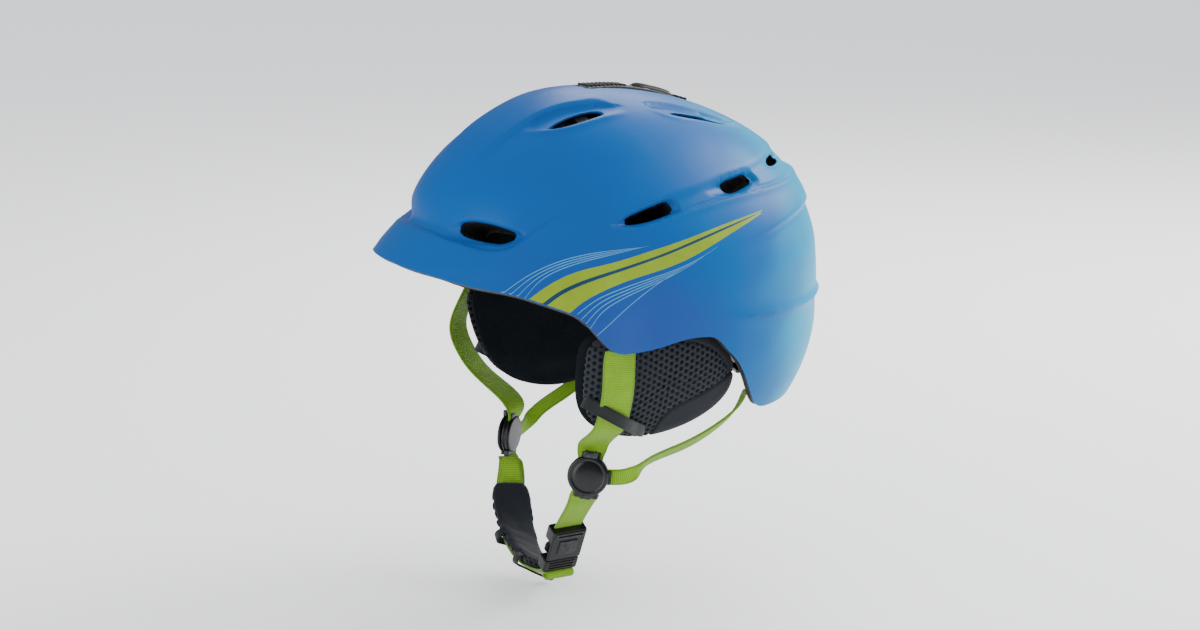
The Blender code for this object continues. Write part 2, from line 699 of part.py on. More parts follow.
def fit_arm(side, sign):
    """A curved arm from the housing that climbs and widens towards the temple."""
    arm = axis_empty("fit_arm_" + side + "_axis", (0, CRADLE_Y, 0), frame)
    theta = np.linspace(-0.17, 1.24, 24)
    start_z, end_z = DIAL_Z + sign * RACK_OFFSET, -17.5
    middle = start_z + (end_z - start_z) * ramp(0.47, 1.05, theta)
    half = 2.2 + 2.4 * ramp(0.47, 0.95, theta)
    z = np.stack([middle - half, middle + half], 1)
    outer, inner = (polar(sign * theta[:, None], CRADLE_R + gap, z) for gap in (6.1, 4.6))
    solid("fit_arm_" + side, slab(outer, inner), "plastic_black", arm)


# ---------------------------------------------------------------- ear flaps and harness
FRONT_STRAP_TOP = (100.8, -41.5, -36.0)  # left side
EAR_MIDDLE = np.array([-4.0, -63.0])  # y, z
EAR_OUTLINE = [  # y, z
    (-56, -31), (-58, -46), (-58, -62), (-55, -78), (-47, -90), (-33, -98), (-14, -102),
    (6, -101), (26, -95), (42, -87), (51, -78), (52.5, -68), (49, -57), (42, -46), (32, -36),
    (18, -29), (0, -27), (-22, -27), (-42, -27),
]
ear_x_by_drop = spline([20, 45, 60, 80, 95, 110], [99, 99, 96.5, 89.5, 83, 76])
# sign of the side: centre and facing direction of the divider
DIVIDERS = {
    1: ((70, -47, -122), (0.82, -0.55, 0.10)),
    -1: ((-68, -31, -132), (-0.75, -0.65, 0.05)),
}
# sign of the side: x (mirrored on the right), y, z of the rear leg behind the divider
REAR_LEG = {
    1: ((85, -12, -114), (84, 10, -109), (84, 33, -101), (85, 50, -90), (85.2, 57, -79.4)),
    -1: ((85, 2, -121), (85, 20, -112), (84, 37, -101), (85, 51, -89), (85.2, 57, -79.4)),
}
REAR_LEG[-1] = ((85, 2, -121), (85, 20, -112), (85, 37, -101), (85, 51, -89), (85.2, 57, -79.4))
# y, z and lift off the ear pad's outer face
KEEPER = [(-57, -70.5, 1.0), (-51, -74.5, 8.2), (-41, -80.5, 7.2), (-30, -87, 7.4),
          (-16, -94.5, 2.2)]


def ear_face_x(y, z):
    """Half-width of the ear pad's outer face, kept inside the shell."""
    y, z = np.asarray(y, float), np.asarray(z, float)
    x = ear_x_by_drop(-z)
    x = x - 10 * (np.clip(-30 - y, 0, 40) / 27) ** 2 - 6 * (np.clip(y - 15, 0, 60) / 35) ** 2
    return np.minimum(x, shell_x(y, np.maximum(z, -84)) - 6.5)


def on_ear(sign, y, z, lift):
    return (sign * (float(ear_face_x(y, z)) + lift), y, z)


def ear_rim(count):
    """The ear outline at even steps, with its corners softened."""
    outline = np.array(EAR_OUTLINE + EAR_OUTLINE[:1], float)
    spans = np.linalg.norm(np.diff(outline, axis=0), axis=1)
    travel = np.concatenate([[0], np.cumsum(spans)])
    steps = np.linspace(0, travel[-1], count, endpoint=False)
    rim = np.stack([np.interp(steps, travel, column) for column in outline.T], 1)
    return (rim + np.roll(rim, 1, 0) * 0.5 + np.roll(rim, -1, 0) * 0.5) / 2


def ear_cushion(sign, outer, inner, shrink, round_out, round_in):
    """A cushion between two distances inwards of the ear pad's outer face."""
    count, shares = 32, (1.0, 0.90, 0.62)
    rim = ear_rim(count)
    top, low = [], []
    for share in shares:
        y, z = (EAR_MIDDLE + (rim - EAR_MIDDLE) * share * shrink).T
        x = ear_face_x(y, z)
        fall = max(0.0, (share - 0.7) / 0.3) ** 2
        top.append(np.stack([sign * (x - outer - round_out * fall), y, z], 1))
        low.append(np.stack([sign * (x - inner + round_in * fall), y, z], 1))
    centres = [on_ear(sign, *EAR_MIDDLE, -outer), on_ear(sign, *EAR_MIDDLE, -inner)]
    under = len(shares) * count  # from a point on top to the one below it
    last = 2 + under - count
    faces = []
    for i in range(count):
        j = (i + 1) % count
        faces.append((0, last + j, last + i))
        faces.append((1, last + under + i, last + under + j))
        for p in range(2, last, count):
            q = p + count
            faces.append((p + i, p + j, q + j, q + i))
            faces.append((p + under + j, p + under + i, q + under + i, q + under + j))
        faces.append((2 + i, 2 + j, 2 + under + j, 2 + under + i))
    return np.concatenate([centres, *top, *low]), faces


def ear_flap(side, sign, ear):
    pad = ear_cushion(sign, 0.0, 12.0, 1.0, round_out=4.5, round_in=2.0)
    solid("ear_pad_" + side, pad, "mesh_slate", ear)
    lining = ear_cushion(sign, 12.5, 18.5, 0.965, round_out=1.5, round_in=3.0)
    solid("ear_lining_" + side, lining, "fleece_navy", ear)


def strap_anchors(side, sign):
    """Small blocks inside the shell's rim at the tops of the strap's legs."""
    front = block((sign * 100.2, -41.5, -26.5), (X, Y, Z), (-1.4, 1.4), (-9, 9), (-3.0, 4.0))
    solid("strap_anchor_front_" + side, front, "plastic_black")
    rear = block((sign * 86.0, 63.0, -72.5), (X, Y, Z), (-1.8, 1.8), (-2.4, 2.4), (-6, 6))
    solid("strap_anchor_rear_" + side, rear, "plastic_black")


def divider_frame(sign):
    """Centre of a divider, and its facing, upward and rearward directions."""
    centre, direction = DIVIDERS[sign]
    facing, up, across = basis(direction, (0, 0.15, 1))
    return Vector(centre), facing, up, across if across.y > 0 else -across


def divider(side, sign, ear):
    """A round body, and a lid on a lug at its top edge."""
    centre, facing, up, back = divider_frame(sign)
    axes = (facing, up, back)
    body = [(11.0, -2.6), (12.6, -1.4), (12.6, 2.2), (11.4, 3.2)]
    solid("divider_" + side, turned(body, centre, axes, 24), "plastic_black", ear)
    hinge = centre + up * 13.9 + facing * 3.6
    axis = axis_empty("divider_lid_" + side + "_axis", hinge, ear)
    cover = [(12.4, 3.6), (12.8, 4.4), (12.0, 5.6), (8.0, 6.2)]
    lid = solid("divider_lid_" + side, turned(cover, centre, axes, 24), "plastic_black", axis)
    lug = block(hinge, (back, up, facing), (-4.0, 4.0), (-4.0, 1.2), (0.1, 1.7))
    merge(lid, "lug_" + side, lug, axis)


def upper_straps(side, sign, ear):
    """The front leg over the ear pad, and the narrower rear leg along its lower edge."""
    centre, facing, up, back = divider_frame(sign)
    x, y, z = FRONT_STRAP_TOP
    points = [(sign * x, y, z)]
    points += [
        on_ear(sign, y, z, 2.3) for y, z in ((-41.5, -46), (-41.0, -60), (-40.5, -76), (-41, -88))
    ]
    points.append(centre + up * 20 - facing * 1.0 + Vector((sign * 1.5, 0, 0)))
    points.append(centre + up * 13.4)
    across = [(sign * 0.1, 1, 0)] + [(sign * 0.30, 0.95, 0)] * 4
    across += [(back + Vector(Y)) / 2, back]
    strap("strap_front_" + side, points, across, 18, ear)

    points = [centre + back * 14.2, centre + back * 20.0 + up * 1.5]
    points += [(sign * x, y, z) for x, y, z in REAR_LEG[sign]]
    across = [up, up] + [(sign * 0.6, 0.25, 0.75)] * 4 + [(sign * 0.3, 0.25, 0.9)]
    strap("strap_rear_" + side, points, across, 16, ear, WEB_WIDTH * 0.5)


def pad_keeper(side, sign, ear):
    """An elastic band over the front leg."""
    points = [on_ear(sign, *station) for station in KEEPER]
    frames = strap_frames(points, [(0, 0.5, 0.86)] * len(points), 14)
    solid("pad_keeper_" + side, ribbon(frames, 8.0, 1.0), "elastic_grey", ear)


def ear_side(side, sign):
    """All that hangs on one side; returns its axis."""
    x, y, z = FRONT_STRAP_TOP
    ear = axis_empty("ear_side_" + side + "_axis", (sign * x, y, z), frame)
    ear_flap(side, sign, ear)
    strap_anchors(side, sign)
    divider(side, sign, ear)
    upper_straps(side, sign, ear)
    pad_keeper(side, sign, ear)
    return ear


# ---------------------------------------------------------------- buckle and chin strap
PIVOT = Vector(DIVIDERS[-1][0])  # the chin strap turns about the right divider
MOUTH = Vector((35.0, -49.0, -184.0))  # where the plug enters the socket
REACH = Vector((MOUTH.x - PIVOT.x, 0, MOUTH.z - PIVOT.z))
WIDE = Vector(Y)
OUT = REACH.normalized()
ALONG = Vector((REACH.z, 0, -REACH.x)).normalized()  # the way the plug leaves
BUCKLE_HALF = 12.2  # half-width of socket and plug

# outlines across (WIDE) and along (ALONG) from the mouth
POCKET = [(-16, 4), (-16, -15), (-9.8, -15), (-9.8, -20), (9.8, -20), (9.8, -15), (16, -15),
          (16, 4)]
RELEASE = [(4.9, 0.1), (8.6, 0.1), (8.8, -4.0), (11.7, -5.2), (11.9, -11.0), (9.0, -13.2),
           (7.4, -16.5), (5.6, -15.5), (6.0, -9.0)]
# points of the chin strap between the plug and the right divider
CHIN_PATH = [
    (22.0, -49.5, -200.5), (6.0, -50.5, -204.0), (-12.0, -50.0, -203.0),
    (-29.0, -47.5, -197.5), (-43.5, -43.5, -187.5), (-54.0, -39.5, -174.0),
    (-61.0, -35.5, -160.0),
]
# its width directions, from the plug to just before the divider
CHIN_ACROSS = [
    (0, 1, 0), (0, 0.93, -0.3), (0, 0.86, -0.5), (0, 0.86, -0.5), (0.1, 0.86, -0.45),
    (0.2, 0.9, -0.3), (0.3, 0.93, -0.15), (0.5, 0.86, 0),
]
# U section: across the strap, and from the strap towards the chin
LOOP_SECTION = [(-16.4, 3.6), (-16.4, -2.2), (16.4, -2.2), (16.4, 3.6), (15.4, 3.6),
                (15.4, -1.2), (-15.4, -1.2), (-15.4, 3.6)]
# folded webbing end on the plug: out, along
TAIL_SECTION = [(1.6, 2.9), (6.3, 2.9), (6.9, 5.0), (5.6, 7.4), (2.7, 7.6), (1.6, 6.0)]


def buckle_box(half_width, out_range, along_range):
    return block(MOUTH, (WIDE, OUT, ALONG), (-half_width, half_width), out_range, along_range)


def buckle_socket(ear):
    shape = buckle_box(BUCKLE_HALF, (-4.6, 5.6), (-25, 0))
    socket = solid("buckle_socket", shape, "plastic_black", ear, 30)
    bevel(socket, 1.6)
    cut(socket, "socket_pocket", prism(POCKET, MOUTH, (WIDE, ALONG, OUT), -8.0, 4.0), ear)


def buckle_plug(chin):
    """The plug's body and tongue, and its two side releases."""
    shape = buckle_box(BUCKLE_HALF, (-4.6, 5.0), (0.5, 10.5))
    plug = solid("buckle_plug", shape, "plastic_black", chin, 30)
    bevel(plug, 1.4)
    merge(plug, "plug_tongue", buckle_box(2.6, (-1.5, 1.5), (-16, 2)), chin)
    for end, sign in (("front", -1), ("rear", 1)):
        name = "buckle_release_" + end
        axis = axis_empty(name + "_axis", MOUTH + WIDE * (sign * 7.2) + ALONG * 0.3, chin)
        outline = [(sign * a, b) for a, b in RELEASE]
        shape = prism(outline, MOUTH, (WIDE, ALONG, OUT), -1.6, 1.6)
        solid(name, shape, "plastic_black", axis, 30)


def lower_strap_left(ear):
    """From the left divider to the socket."""
    centre, _, up, back = divider_frame(1)
    top = centre - up * 13.4
    tail = MOUTH - ALONG * 25.8
    points = [top, top * 0.62 + tail * 0.38 + OUT * 1.0, top * 0.3 + tail * 0.7 + OUT * 0.3, tail]
    strap("strap_lower_left", points, [back, (0.05, 1, 0), Y, Y], 10, ear)


def chin_strap(chin):
    """From the plug, under the chin, to the right divider, with its pad, loops and tail."""
    centre, facing, up, back = divider_frame(-1)
    points = [MOUTH + ALONG * 11.6, *CHIN_PATH, centre - up * 14.2 - facing * 0.9]
    frames = strap("strap_lower_right", points, [*CHIN_ACROSS, back], 37, chin)
    # the side of the strap that faces the chin
    inner = 1.0 if float(frames[3][14] @ np.array([0.0, 0.3, 1.0])) > 0 else -1.0

    ends = [0.62, 0.84, 0.95]
    taper = np.concatenate([ends, np.ones(16), ends[::-1]])
    padded = [part[4:26] for part in frames]
    solid("chin_pad", ribbon(padded, 30.0 * taper, 6.0, inner * 4.9), "mesh_slate", chin)
    for label, i in (("a", 8), ("b", 15)):
        middle, run, width, normal = (Vector(part[i]) for part in frames)
        loop = prism(LOOP_SECTION, middle, (width, normal * inner, run), -3.4, 3.4)
        solid("chin_loop_" + label, loop, "elastic_grey", chin, 30)
    half = WEB_WIDTH / 2
    tail = prism(TAIL_SECTION, MOUTH + ALONG * 7.9, (OUT, ALONG, WIDE), -half, half)
    solid("strap_tail", tail, "webbing_lime", chin, 50)


# ---------------------------------------------------------------- goggle strap clip at the back
CLIP_TOP, CLIP_LOW = 0.97, 1.30  # levels of the clip's base and stud
CLIP_LIFT = 0.4  # off the shell


def back_at(level, rise):
    return Vector(inside(180.0, level, -rise))


def back_frame(level):
    """A point at the back, and the downward tangent and outward normal there."""
    step = back_at(level + 0.02, CLIP_LIFT) - back_at(level - 0.02, CLIP_LIFT)
    tangent = step.normalized()
    normal = Vector(X).cross(tangent)
    return back_at(level, CLIP_LIFT), tangent, normal if normal.y > 0 else -normal


def goggle_clip():
    """A base, a stud below it, and a rubber strap from one over the other."""
    top, tangent, normal = back_frame(CLIP_TOP)
    shape = block(top, (X, tangent, normal), (-13, 13), (-7, 7), (0.5, 2.7))
    bevel(solid("goggle_clip_base", shape, "plastic_black"), 0.8)

    low, _, low_normal = back_frame(CLIP_LOW)
    profile = [(6.5, 0.5), (6.5, 1.6), (4.0, 2.6)]
    solid("goggle_clip_stud", turned(profile, low, basis(low_normal, X), 20), "steel")

    clip = axis_empty("goggle_clip_axis", top + normal * 3.9, frame)
    points = []
    for t in np.linspace(0, 1, 9):
        level = CLIP_TOP + (CLIP_LOW + 0.035 - CLIP_TOP) * t
        bulge = 1.2 * math.sin(math.pi * min(t * 1.15, 1.0))
        points.append(back_at(level, CLIP_LIFT + 4.3 + bulge))
    frames = strap_frames(points, [X] * len(points), 13)
    solid("goggle_clip_strap", ribbon(frames, 21.0, 1.8), "rubber_black", clip)


# ---------------------------------------------------------------- assembly
def build_helmet():
    shell, liner = outer_shell(), eps_liner()
    cut(shell, "shell_vents", vent_prisms(0.0))
    cut(liner, "foam_vents", vent_prisms(1.5))
    edge_trim()

    slider = axis_empty("vent_slider_axis", (0, SLIDER_Y, SLIDER_Z), frame)
    slider_openings(shell)
    slider_track()
    slider_knob(slider)
    vent_shutter(slider, liner)
    cut(liner, "dial_recess", block((0, 0, 0), (X, Y, Z), (-27, 27), (60, 122), (-110, -49)))

    crown_pad()
    foam_pad("brow_pad", (-64, 64), (0.66, 0.86), (1.6, 8.4), 22)
    for side, sign in SIDES.items():
        foam_pad("side_pad_" + side, (sign * 74, sign * 106), (0.66, 0.92), (0.9, 6.9), 8)

    cradle_layer("fit_cradle", "plastic_black", 0.88, 21, 0, CRADLE_R + 2.2, CRADLE_R)
    cradle_layer("cradle_pad", "fleece_navy", 0.80, 17, 4, CRADLE_R - 0.4, CRADLE_R - 5.4)
    dial_housing()
    fit_dial()
    for side, sign in SIDES.items():
        fit_arm(side, sign)

    ears = {side: ear_side(side, sign) for side, sign in SIDES.items()}
    chin = axis_empty("chin_strap_axis", PIVOT, ears["right"])
    buckle_socket(ears["left"])
    buckle_plug(chin)
    lower_strap_left(ears["left"])
    chin_strap(chin)
    goggle_clip()


build_helmet()
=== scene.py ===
"""A snow helmet with a vent slider, soft ear flaps, webbing harness, buckle and chin pad.

Design frame, in mm: z = 0 at the shell's widest level, the wearer faces -Y, their left is +X.
A place on the shell is (turn, drop): turn in degrees from the front (0) over the left (90) to
the back (180), drop from the crown (0) to the widest level (1) and on below it. Blender's frame
is in metres, with its origin ORIGIN_Z above the widest level.
"""

import math
from collections import namedtuple

import bmesh
import bpy
import numpy as np
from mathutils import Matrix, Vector


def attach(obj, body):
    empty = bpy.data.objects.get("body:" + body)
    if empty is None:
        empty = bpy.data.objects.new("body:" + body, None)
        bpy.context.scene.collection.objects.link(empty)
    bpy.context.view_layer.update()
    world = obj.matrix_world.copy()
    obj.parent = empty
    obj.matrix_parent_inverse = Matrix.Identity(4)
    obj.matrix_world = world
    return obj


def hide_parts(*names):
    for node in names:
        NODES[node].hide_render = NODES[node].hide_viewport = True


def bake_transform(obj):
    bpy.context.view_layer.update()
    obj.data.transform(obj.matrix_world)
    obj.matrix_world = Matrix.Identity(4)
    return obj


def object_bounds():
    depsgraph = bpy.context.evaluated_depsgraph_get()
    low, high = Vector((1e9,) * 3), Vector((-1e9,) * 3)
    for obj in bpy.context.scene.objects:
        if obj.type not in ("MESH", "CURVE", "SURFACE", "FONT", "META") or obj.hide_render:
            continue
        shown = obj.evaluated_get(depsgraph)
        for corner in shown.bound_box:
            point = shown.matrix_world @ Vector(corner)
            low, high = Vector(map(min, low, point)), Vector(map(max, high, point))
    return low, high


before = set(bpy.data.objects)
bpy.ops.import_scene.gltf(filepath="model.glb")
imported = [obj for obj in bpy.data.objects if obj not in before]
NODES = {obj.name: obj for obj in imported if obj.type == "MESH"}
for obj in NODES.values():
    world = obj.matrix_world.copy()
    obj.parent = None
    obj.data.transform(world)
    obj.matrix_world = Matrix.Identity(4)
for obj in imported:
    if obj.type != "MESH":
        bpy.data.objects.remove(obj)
cad_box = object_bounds()
SIDES = (("left", 1), ("right", -1))

CROWN_Z, SHELL_T, LINER_GAP, ORIGIN_Z = 112.0, 2.2, 1.7, 78.0
FOAM_OUT = SHELL_T + LINER_GAP
LIFT = np.array([0.0, 0.0, -ORIGIN_Z])
BRIM_REACH, BRIM_TOP, BRIM_LOW = 17.0, 0.80, 0.94  # mm, then two drops
NET = 4.3  # pitch of the open net on the pads
WEB_W, WEB_T = 20.0, 1.6
WEB_PITCH, ELASTIC_PITCH = 1.25, 0.8  # rib pitch of the two tapes

# the slider's track, its slot, and the room left round each
TRACK_HALF_X, TRACK_FRONT, TRACK_REAR, GROOVE_ROOM = 8.8, -14.8, 62.8, 0.5
SLOT_Y, SLOT_HALF_X, SLOT_HALF_Y, SLOT_ROOM = 36, 3.4, 15, 0.2


# ------------------------------------------------------------------ numbers and curves
def spline(stations, values):
    """Natural cubic through the stations, carried on straight past both ends."""
    xs, ys = np.asarray(stations, float), np.asarray(values, float)
    count, gap = len(xs), np.diff(xs)
    matrix, right = np.eye(count), np.zeros(count)
    for i in range(1, count - 1):
        matrix[i, i - 1 : i + 2] = gap[i - 1], 2 * (gap[i - 1] + gap[i]), gap[i]
        right[i] = 6 * ((ys[i + 1] - ys[i]) / gap[i] - (ys[i] - ys[i - 1]) / gap[i - 1])
    bend = np.linalg.solve(matrix, right)

    def at(x):
        x = np.asarray(x, float)
        held = np.clip(x, xs[0], xs[-1])
        i = np.clip(np.searchsorted(xs, held, side="right") - 1, 0, count - 2)
        past, left, width = held - xs[i], xs[i + 1] - held, gap[i]
        value = (bend[i] * left**3 + bend[i + 1] * past**3) / (6 * width)
        value = value + (ys[i] / width - bend[i] * width / 6) * left
        value = value + (ys[i + 1] / width - bend[i + 1] * width / 6) * past
        start = (ys[1] - ys[0]) / gap[0] - gap[0] * bend[1] / 6
        end = (ys[-1] - ys[-2]) / gap[-1] + gap[-1] * bend[-2] / 6
        value = value + np.where(x < xs[0], (x - xs[0]) * start, 0)
        return value + np.where(x > xs[-1], (x - xs[-1]) * end, 0)

    return at


def ramp(start, end, x):
    """0 at start, 1 at end, smooth between; start may be the larger."""
    t = np.clip((np.asarray(x, float) - start) / (end - start), 0, 1)
    return t * t * (3 - 2 * t)


def travel(points):
    """Distance along a path at each of its points."""
    steps = np.linalg.norm(np.diff(points, axis=0), axis=1)
    return np.concatenate([[0], np.cumsum(steps)])


def unit(vectors):
    return vectors / np.linalg.norm(vectors, axis=-1, keepdims=True)


def basis(direction, hint):
    """Three square unit axes: the direction, the hint squared to it, and their cross product."""
    first = unit(np.array(direction, float))
    second = np.array(hint, float)
    second = unit(second - first * second.dot(first))
    return first, second, np.cross(first, second)


def rectangle(x, y, half_x, y_min, y_max):
    """How far outside a rectangle about x = 0 a point lies, negative inside."""
    return np.maximum(np.abs(x) - half_x, np.maximum(y_min - y, y - y_max))


def rounded(outline, times=3, cut=0.17):
    """The outline with its corners cut off again and again."""
    points = np.asarray(outline, float)
    for _ in range(times):
        after = np.roll(points, -1, 0)
        pair = [points * (1 - cut) + after * cut, points * cut + after * (1 - cut)]
        points = np.stack(pair, 1).reshape(-1, 2)
    return points


def outline_distance(x, y, outline):
    """Signed distance to a closed outline, negative inside, and the nearest point on it."""
    start_x, start_y = outline.T
    edge_x, edge_y = (np.roll(outline, -1, 0) - outline).T
    x, y = x[:, None], y[:, None]
    from_x, from_y = x - start_x, y - start_y
    t = (from_x * edge_x + from_y * edge_y) / (edge_x * edge_x + edge_y * edge_y + 1e-12)
    t = np.clip(t, 0, 1)
    near_x, near_y = start_x + t * edge_x, start_y + t * edge_y
    squared = (x - near_x) ** 2 + (y - near_y) ** 2
    best = np.arange(len(x)), squared.argmin(1)
    above, below = y >= start_y, y < np.roll(start_y, -1)
    left = edge_x * from_y > edge_y * from_x
    crossings = (above & below & left) | (~above & ~below & ~left)
    sign = np.where(crossings.sum(1) % 2 == 1, -1.0, 1.0)
    return sign * np.sqrt(squared[best]), near_x[best], near_y[best]


# ------------------------------------------------------------------ the plain surface
# reach from the centre by drop
front_reach = spline(
    [0, 0.2, 0.4, 0.6, 0.8, 0.95, 1.1, 1.3], [112, 115, 122, 128, 131, 132, 131, 130]
)
REACH_DROPS = [0, 0.2, 0.4, 0.6, 0.8, 1.0, 1.2, 1.4, 1.6]
rear_reach = spline(REACH_DROPS, [140, 148, 156, 158, 153, 147, 146, 140, 127])
side_reach = spline(REACH_DROPS, [99, 100, 102, 105, 108, 109, 108, 105, 99])
centre_y = spline([0, 0.5, 1.0, 1.6], [-16, -8, 0, 0])
# drop of the lower edge by turn
edge_curve = spline(
    [0, 12, 20, 30, 40, 46, 52, 56, 59, 62, 65, 70,
     79, 89, 98, 102, 106, 111, 116, 123, 132, 145, 160, 180],
    [0.935, 0.94, 0.947, 0.965, 0.985, 1.01, 1.04, 1.07, 1.115, 1.165, 1.20, 1.215,
     1.21, 1.19, 1.19, 1.205, 1.25, 1.31, 1.405, 1.54, 1.59, 1.59, 1.56, 1.50],
)
foam_curve = spline(
    [0, 20, 34, 46, 54, 62, 80, 100, 112, 120, 127, 133, 140, 150, 165, 180],
    [0.905, 0.915, 0.94, 0.975, 1.02, 1.07, 1.09, 1.09,
     1.11, 1.17, 1.31, 1.46, 1.54, 1.55, 1.52, 1.46],
)


def away(turn):
    """Turn from the front to either side, 0 to 180."""
    return np.abs((np.asarray(turn, float) + 180) % 360 - 180)


def shell_edge(turn):
    return edge_curve(away(turn))


def foam_edge(turn):
    return np.minimum(foam_curve(away(turn)), edge_curve(away(turn)) - 0.036)


def surface(turn, drop, brim=True):
    """Points of the helmet's plain outer surface."""
    turn, drop = np.broadcast_arrays(np.asarray(turn, float), np.asarray(drop, float))
    angle = np.radians(turn)
    level = 1 - np.log1p(np.exp(10 * (1 - drop))) / 10
    swell = np.sin(np.pi / 2 * np.maximum(level, 0))
    cosine, sine = np.cos(angle), np.abs(np.sin(angle))
    power = 2.0 + 0.25 * ramp(0.3, 1.0, drop)
    length = np.where(cosine > 0, front_reach(drop), rear_reach(drop))
    rounder = (sine / side_reach(drop)) ** power + (np.abs(cosine) / length) ** power
    radius = swell * rounder ** (-1 / power)
    if brim:
        facing = np.cos(np.radians(np.clip(away(turn), 0, 80) * 90 / 80))
        facing = np.clip(facing, 0, 1) ** (1.3 + 0.5 * ramp(62, 80, away(turn)))
        t = np.clip((drop - BRIM_TOP) / (BRIM_LOW - BRIM_TOP), 0, 2)
        flare = np.where(t < 1, t * t * (2.2 - 1.2 * t) * 0.6 + 0.4 * t, 1 + 1.28 * (t - 1))
        radius = radius + BRIM_REACH * facing * flare
    x, y = radius * np.sin(angle), -radius * cosine + centre_y(drop)
    return np.stack([x, y, CROWN_Z * np.cos(np.pi / 2 * drop)], -1)


def normal_at(turn, drop, brim=True):
    turn, drop = np.broadcast_arrays(np.asarray(turn, float), np.asarray(drop, float))
    drop = np.maximum(drop, 0.012)
    round_ = surface(turn + 0.5, drop, brim) - surface(turn - 0.5, drop, brim)
    down = surface(turn, drop + 0.004, brim) - surface(turn, drop - 0.004, brim)
    return unit(np.cross(down, round_))


def inside(turn, drop, depth, brim=True):
    """Points at a depth under the plain surface."""
    turn, drop = np.broadcast_arrays(np.asarray(turn, float), np.asarray(drop, float))
    depth = np.asarray(depth, float)[..., None]
    return surface(turn, np.maximum(drop, 0.012), brim) - normal_at(turn, drop, brim) * depth


def foam_thickness(turn, drop):
    cosine = np.cos(np.radians(turn))
    body = ramp(0.15, 0.7, drop)
    front, back = np.clip(cosine, 0, 1), np.clip(-cosine, 0, 1)
    thickness = 23 + 4 * front**2 * body + 10 * back**2 * body
    return thickness - 13 * ramp(1.05, 1.5, drop) * back**0.7


def top_height(x, y, depth):
    """z of the surface at a depth, above (x, y), found by Newton steps."""
    x, y, depth = np.broadcast_arrays(*(np.asarray(value, float) for value in (x, y, depth)))
    guess = np.stack([x / 100.0, (y + 14) / 120.0], -1)

    def place(at):
        turn = np.degrees(np.arctan2(at[..., 0], -at[..., 1]))
        drop = np.maximum(np.hypot(at[..., 0], at[..., 1]) / (np.pi / 2), 1e-3)
        return inside(turn, drop, depth, False)

    step = 0.03
    for _ in range(12):
        point = place(guess)
        miss_x, miss_y = x - point[..., 0], y - point[..., 1]
        by_u = (place(guess + [step, 0]) - place(guess - [step, 0])) / 2
        by_v = (place(guess + [0, step]) - place(guess - [0, step])) / 2
        x_u, x_v, y_u, y_v = by_u[..., 0], by_v[..., 0], by_u[..., 1], by_v[..., 1]
        det = x_u * y_v - x_v * y_u
        move_u = (y_v * miss_x - x_v * miss_y) / det
        move_v = (x_u * miss_y - y_u * miss_x) / det
        guess = guess + step * np.stack([move_u, move_v], -1)
    return place(guess)[..., 2]


# ------------------------------------------------------------------ shader graphs
class Signal:
    """A shader output that combines with numbers and other signals."""

    def __init__(self, graph, socket):
        self.graph, self.socket = graph, socket

    def math(self, operation, *values):
        return self.graph.add("ShaderNodeMath", dict(enumerate(values)), operation=operation)

    def __add__(self, other):
        return self.math("ADD", self, other)

    def __sub__(self, other):
        return self.math("SUBTRACT", self, other)

    def __rsub__(self, other):
        return self.math("SUBTRACT", other, self)

    def __mul__(self, other):
        return self.math("MULTIPLY", self, other)

    def sine(self):
        return self.math("SINE", self)

    def remap(self, span, to=(0.0, 1.0), smooth=False):
        """Carries the span onto the range given by to, clamped."""
        kind = "SMOOTHSTEP" if smooth else "LINEAR"
        inputs = dict(enumerate((self, *span, *to)))
        return self.graph.add("ShaderNodeMapRange", inputs, interpolation_type=kind, clamp=True)

    def split(self):
        parts = self.graph.add("ShaderNodeSeparateXYZ", {0: self})
        return [Signal(self.graph, socket) for socket in parts.socket.node.outputs]


class Graph:
    """A node tree, with short ways to add nodes and feed their inputs."""

    def __init__(self, tree):
        self.tree = tree

    def add(self, kind, inputs=None, output=0, **props):
        node = self.tree.nodes.new(kind)
        for key, value in props.items():
            setattr(node, key, value)
        self.feed(node, inputs or {})
        return Signal(self, node.outputs[output])

    def feed(self, node, inputs):
        for key, value in inputs.items():
            if isinstance(value, Signal):
                self.tree.links.new(value.socket, node.inputs[key])
            else:
                is_colour = isinstance(value, tuple)
                node.inputs[key].default_value = (*value, 1) if is_colour else value

    def mix(self, amount, first, second):
        inputs = {0: amount, 6: first, 7: second}
        return self.add("ShaderNodeMix", inputs, output=2, data_type="RGBA")

    def noise(self, place, scale, detail=3.0, rough=0.55):
        inputs = {"Scale": scale, "Detail": detail, "Roughness": rough, "Vector": place}
        return self.add("ShaderNodeTexNoise", inputs)

    def attribute(self, name):
        return self.add("ShaderNodeAttribute", output="Vector", attribute_name=name)

    def pointiness(self):
        return self.add("ShaderNodeNewGeometry", output="Pointiness")

    def position(self):
        """Object coordinates in mm."""
        place = self.add("ShaderNodeTexCoord", output="Object")
        return self.add("ShaderNodeVectorMath", {0: place, 3: 1000.0}, operation="SCALE")


class Material(Graph):
    def __init__(self, name):
        self.data = bpy.data.materials.new(name)
        self.data.use_nodes = True
        super().__init__(self.data.node_tree)
        self.bsdf = self.tree.nodes["Principled BSDF"]

    def finish(self, colour, roughness, height, strength, distance, extra=None):
        """Feeds the shader; distance is the bump's, in metres."""
        bump = {"Height": height, "Strength": strength, "Distance": distance}
        inputs = {"Base Color": colour, "Roughness": roughness}
        inputs["Normal"] = self.add("ShaderNodeBump", bump)
        self.feed(self.bsdf, {**inputs, **(extra or {})})
        return self.data


WIDE, TIGHT = (0.3, 0.7), (0.35, 0.65)  # parts of a noise's range that are stretched to full
PAINT_GRAIN = {"strength": 0.10, "distance": 0.00006}


def toned(colour, gain, offset=0.0):
    return tuple(min(1, channel * gain + offset) for channel in colour)


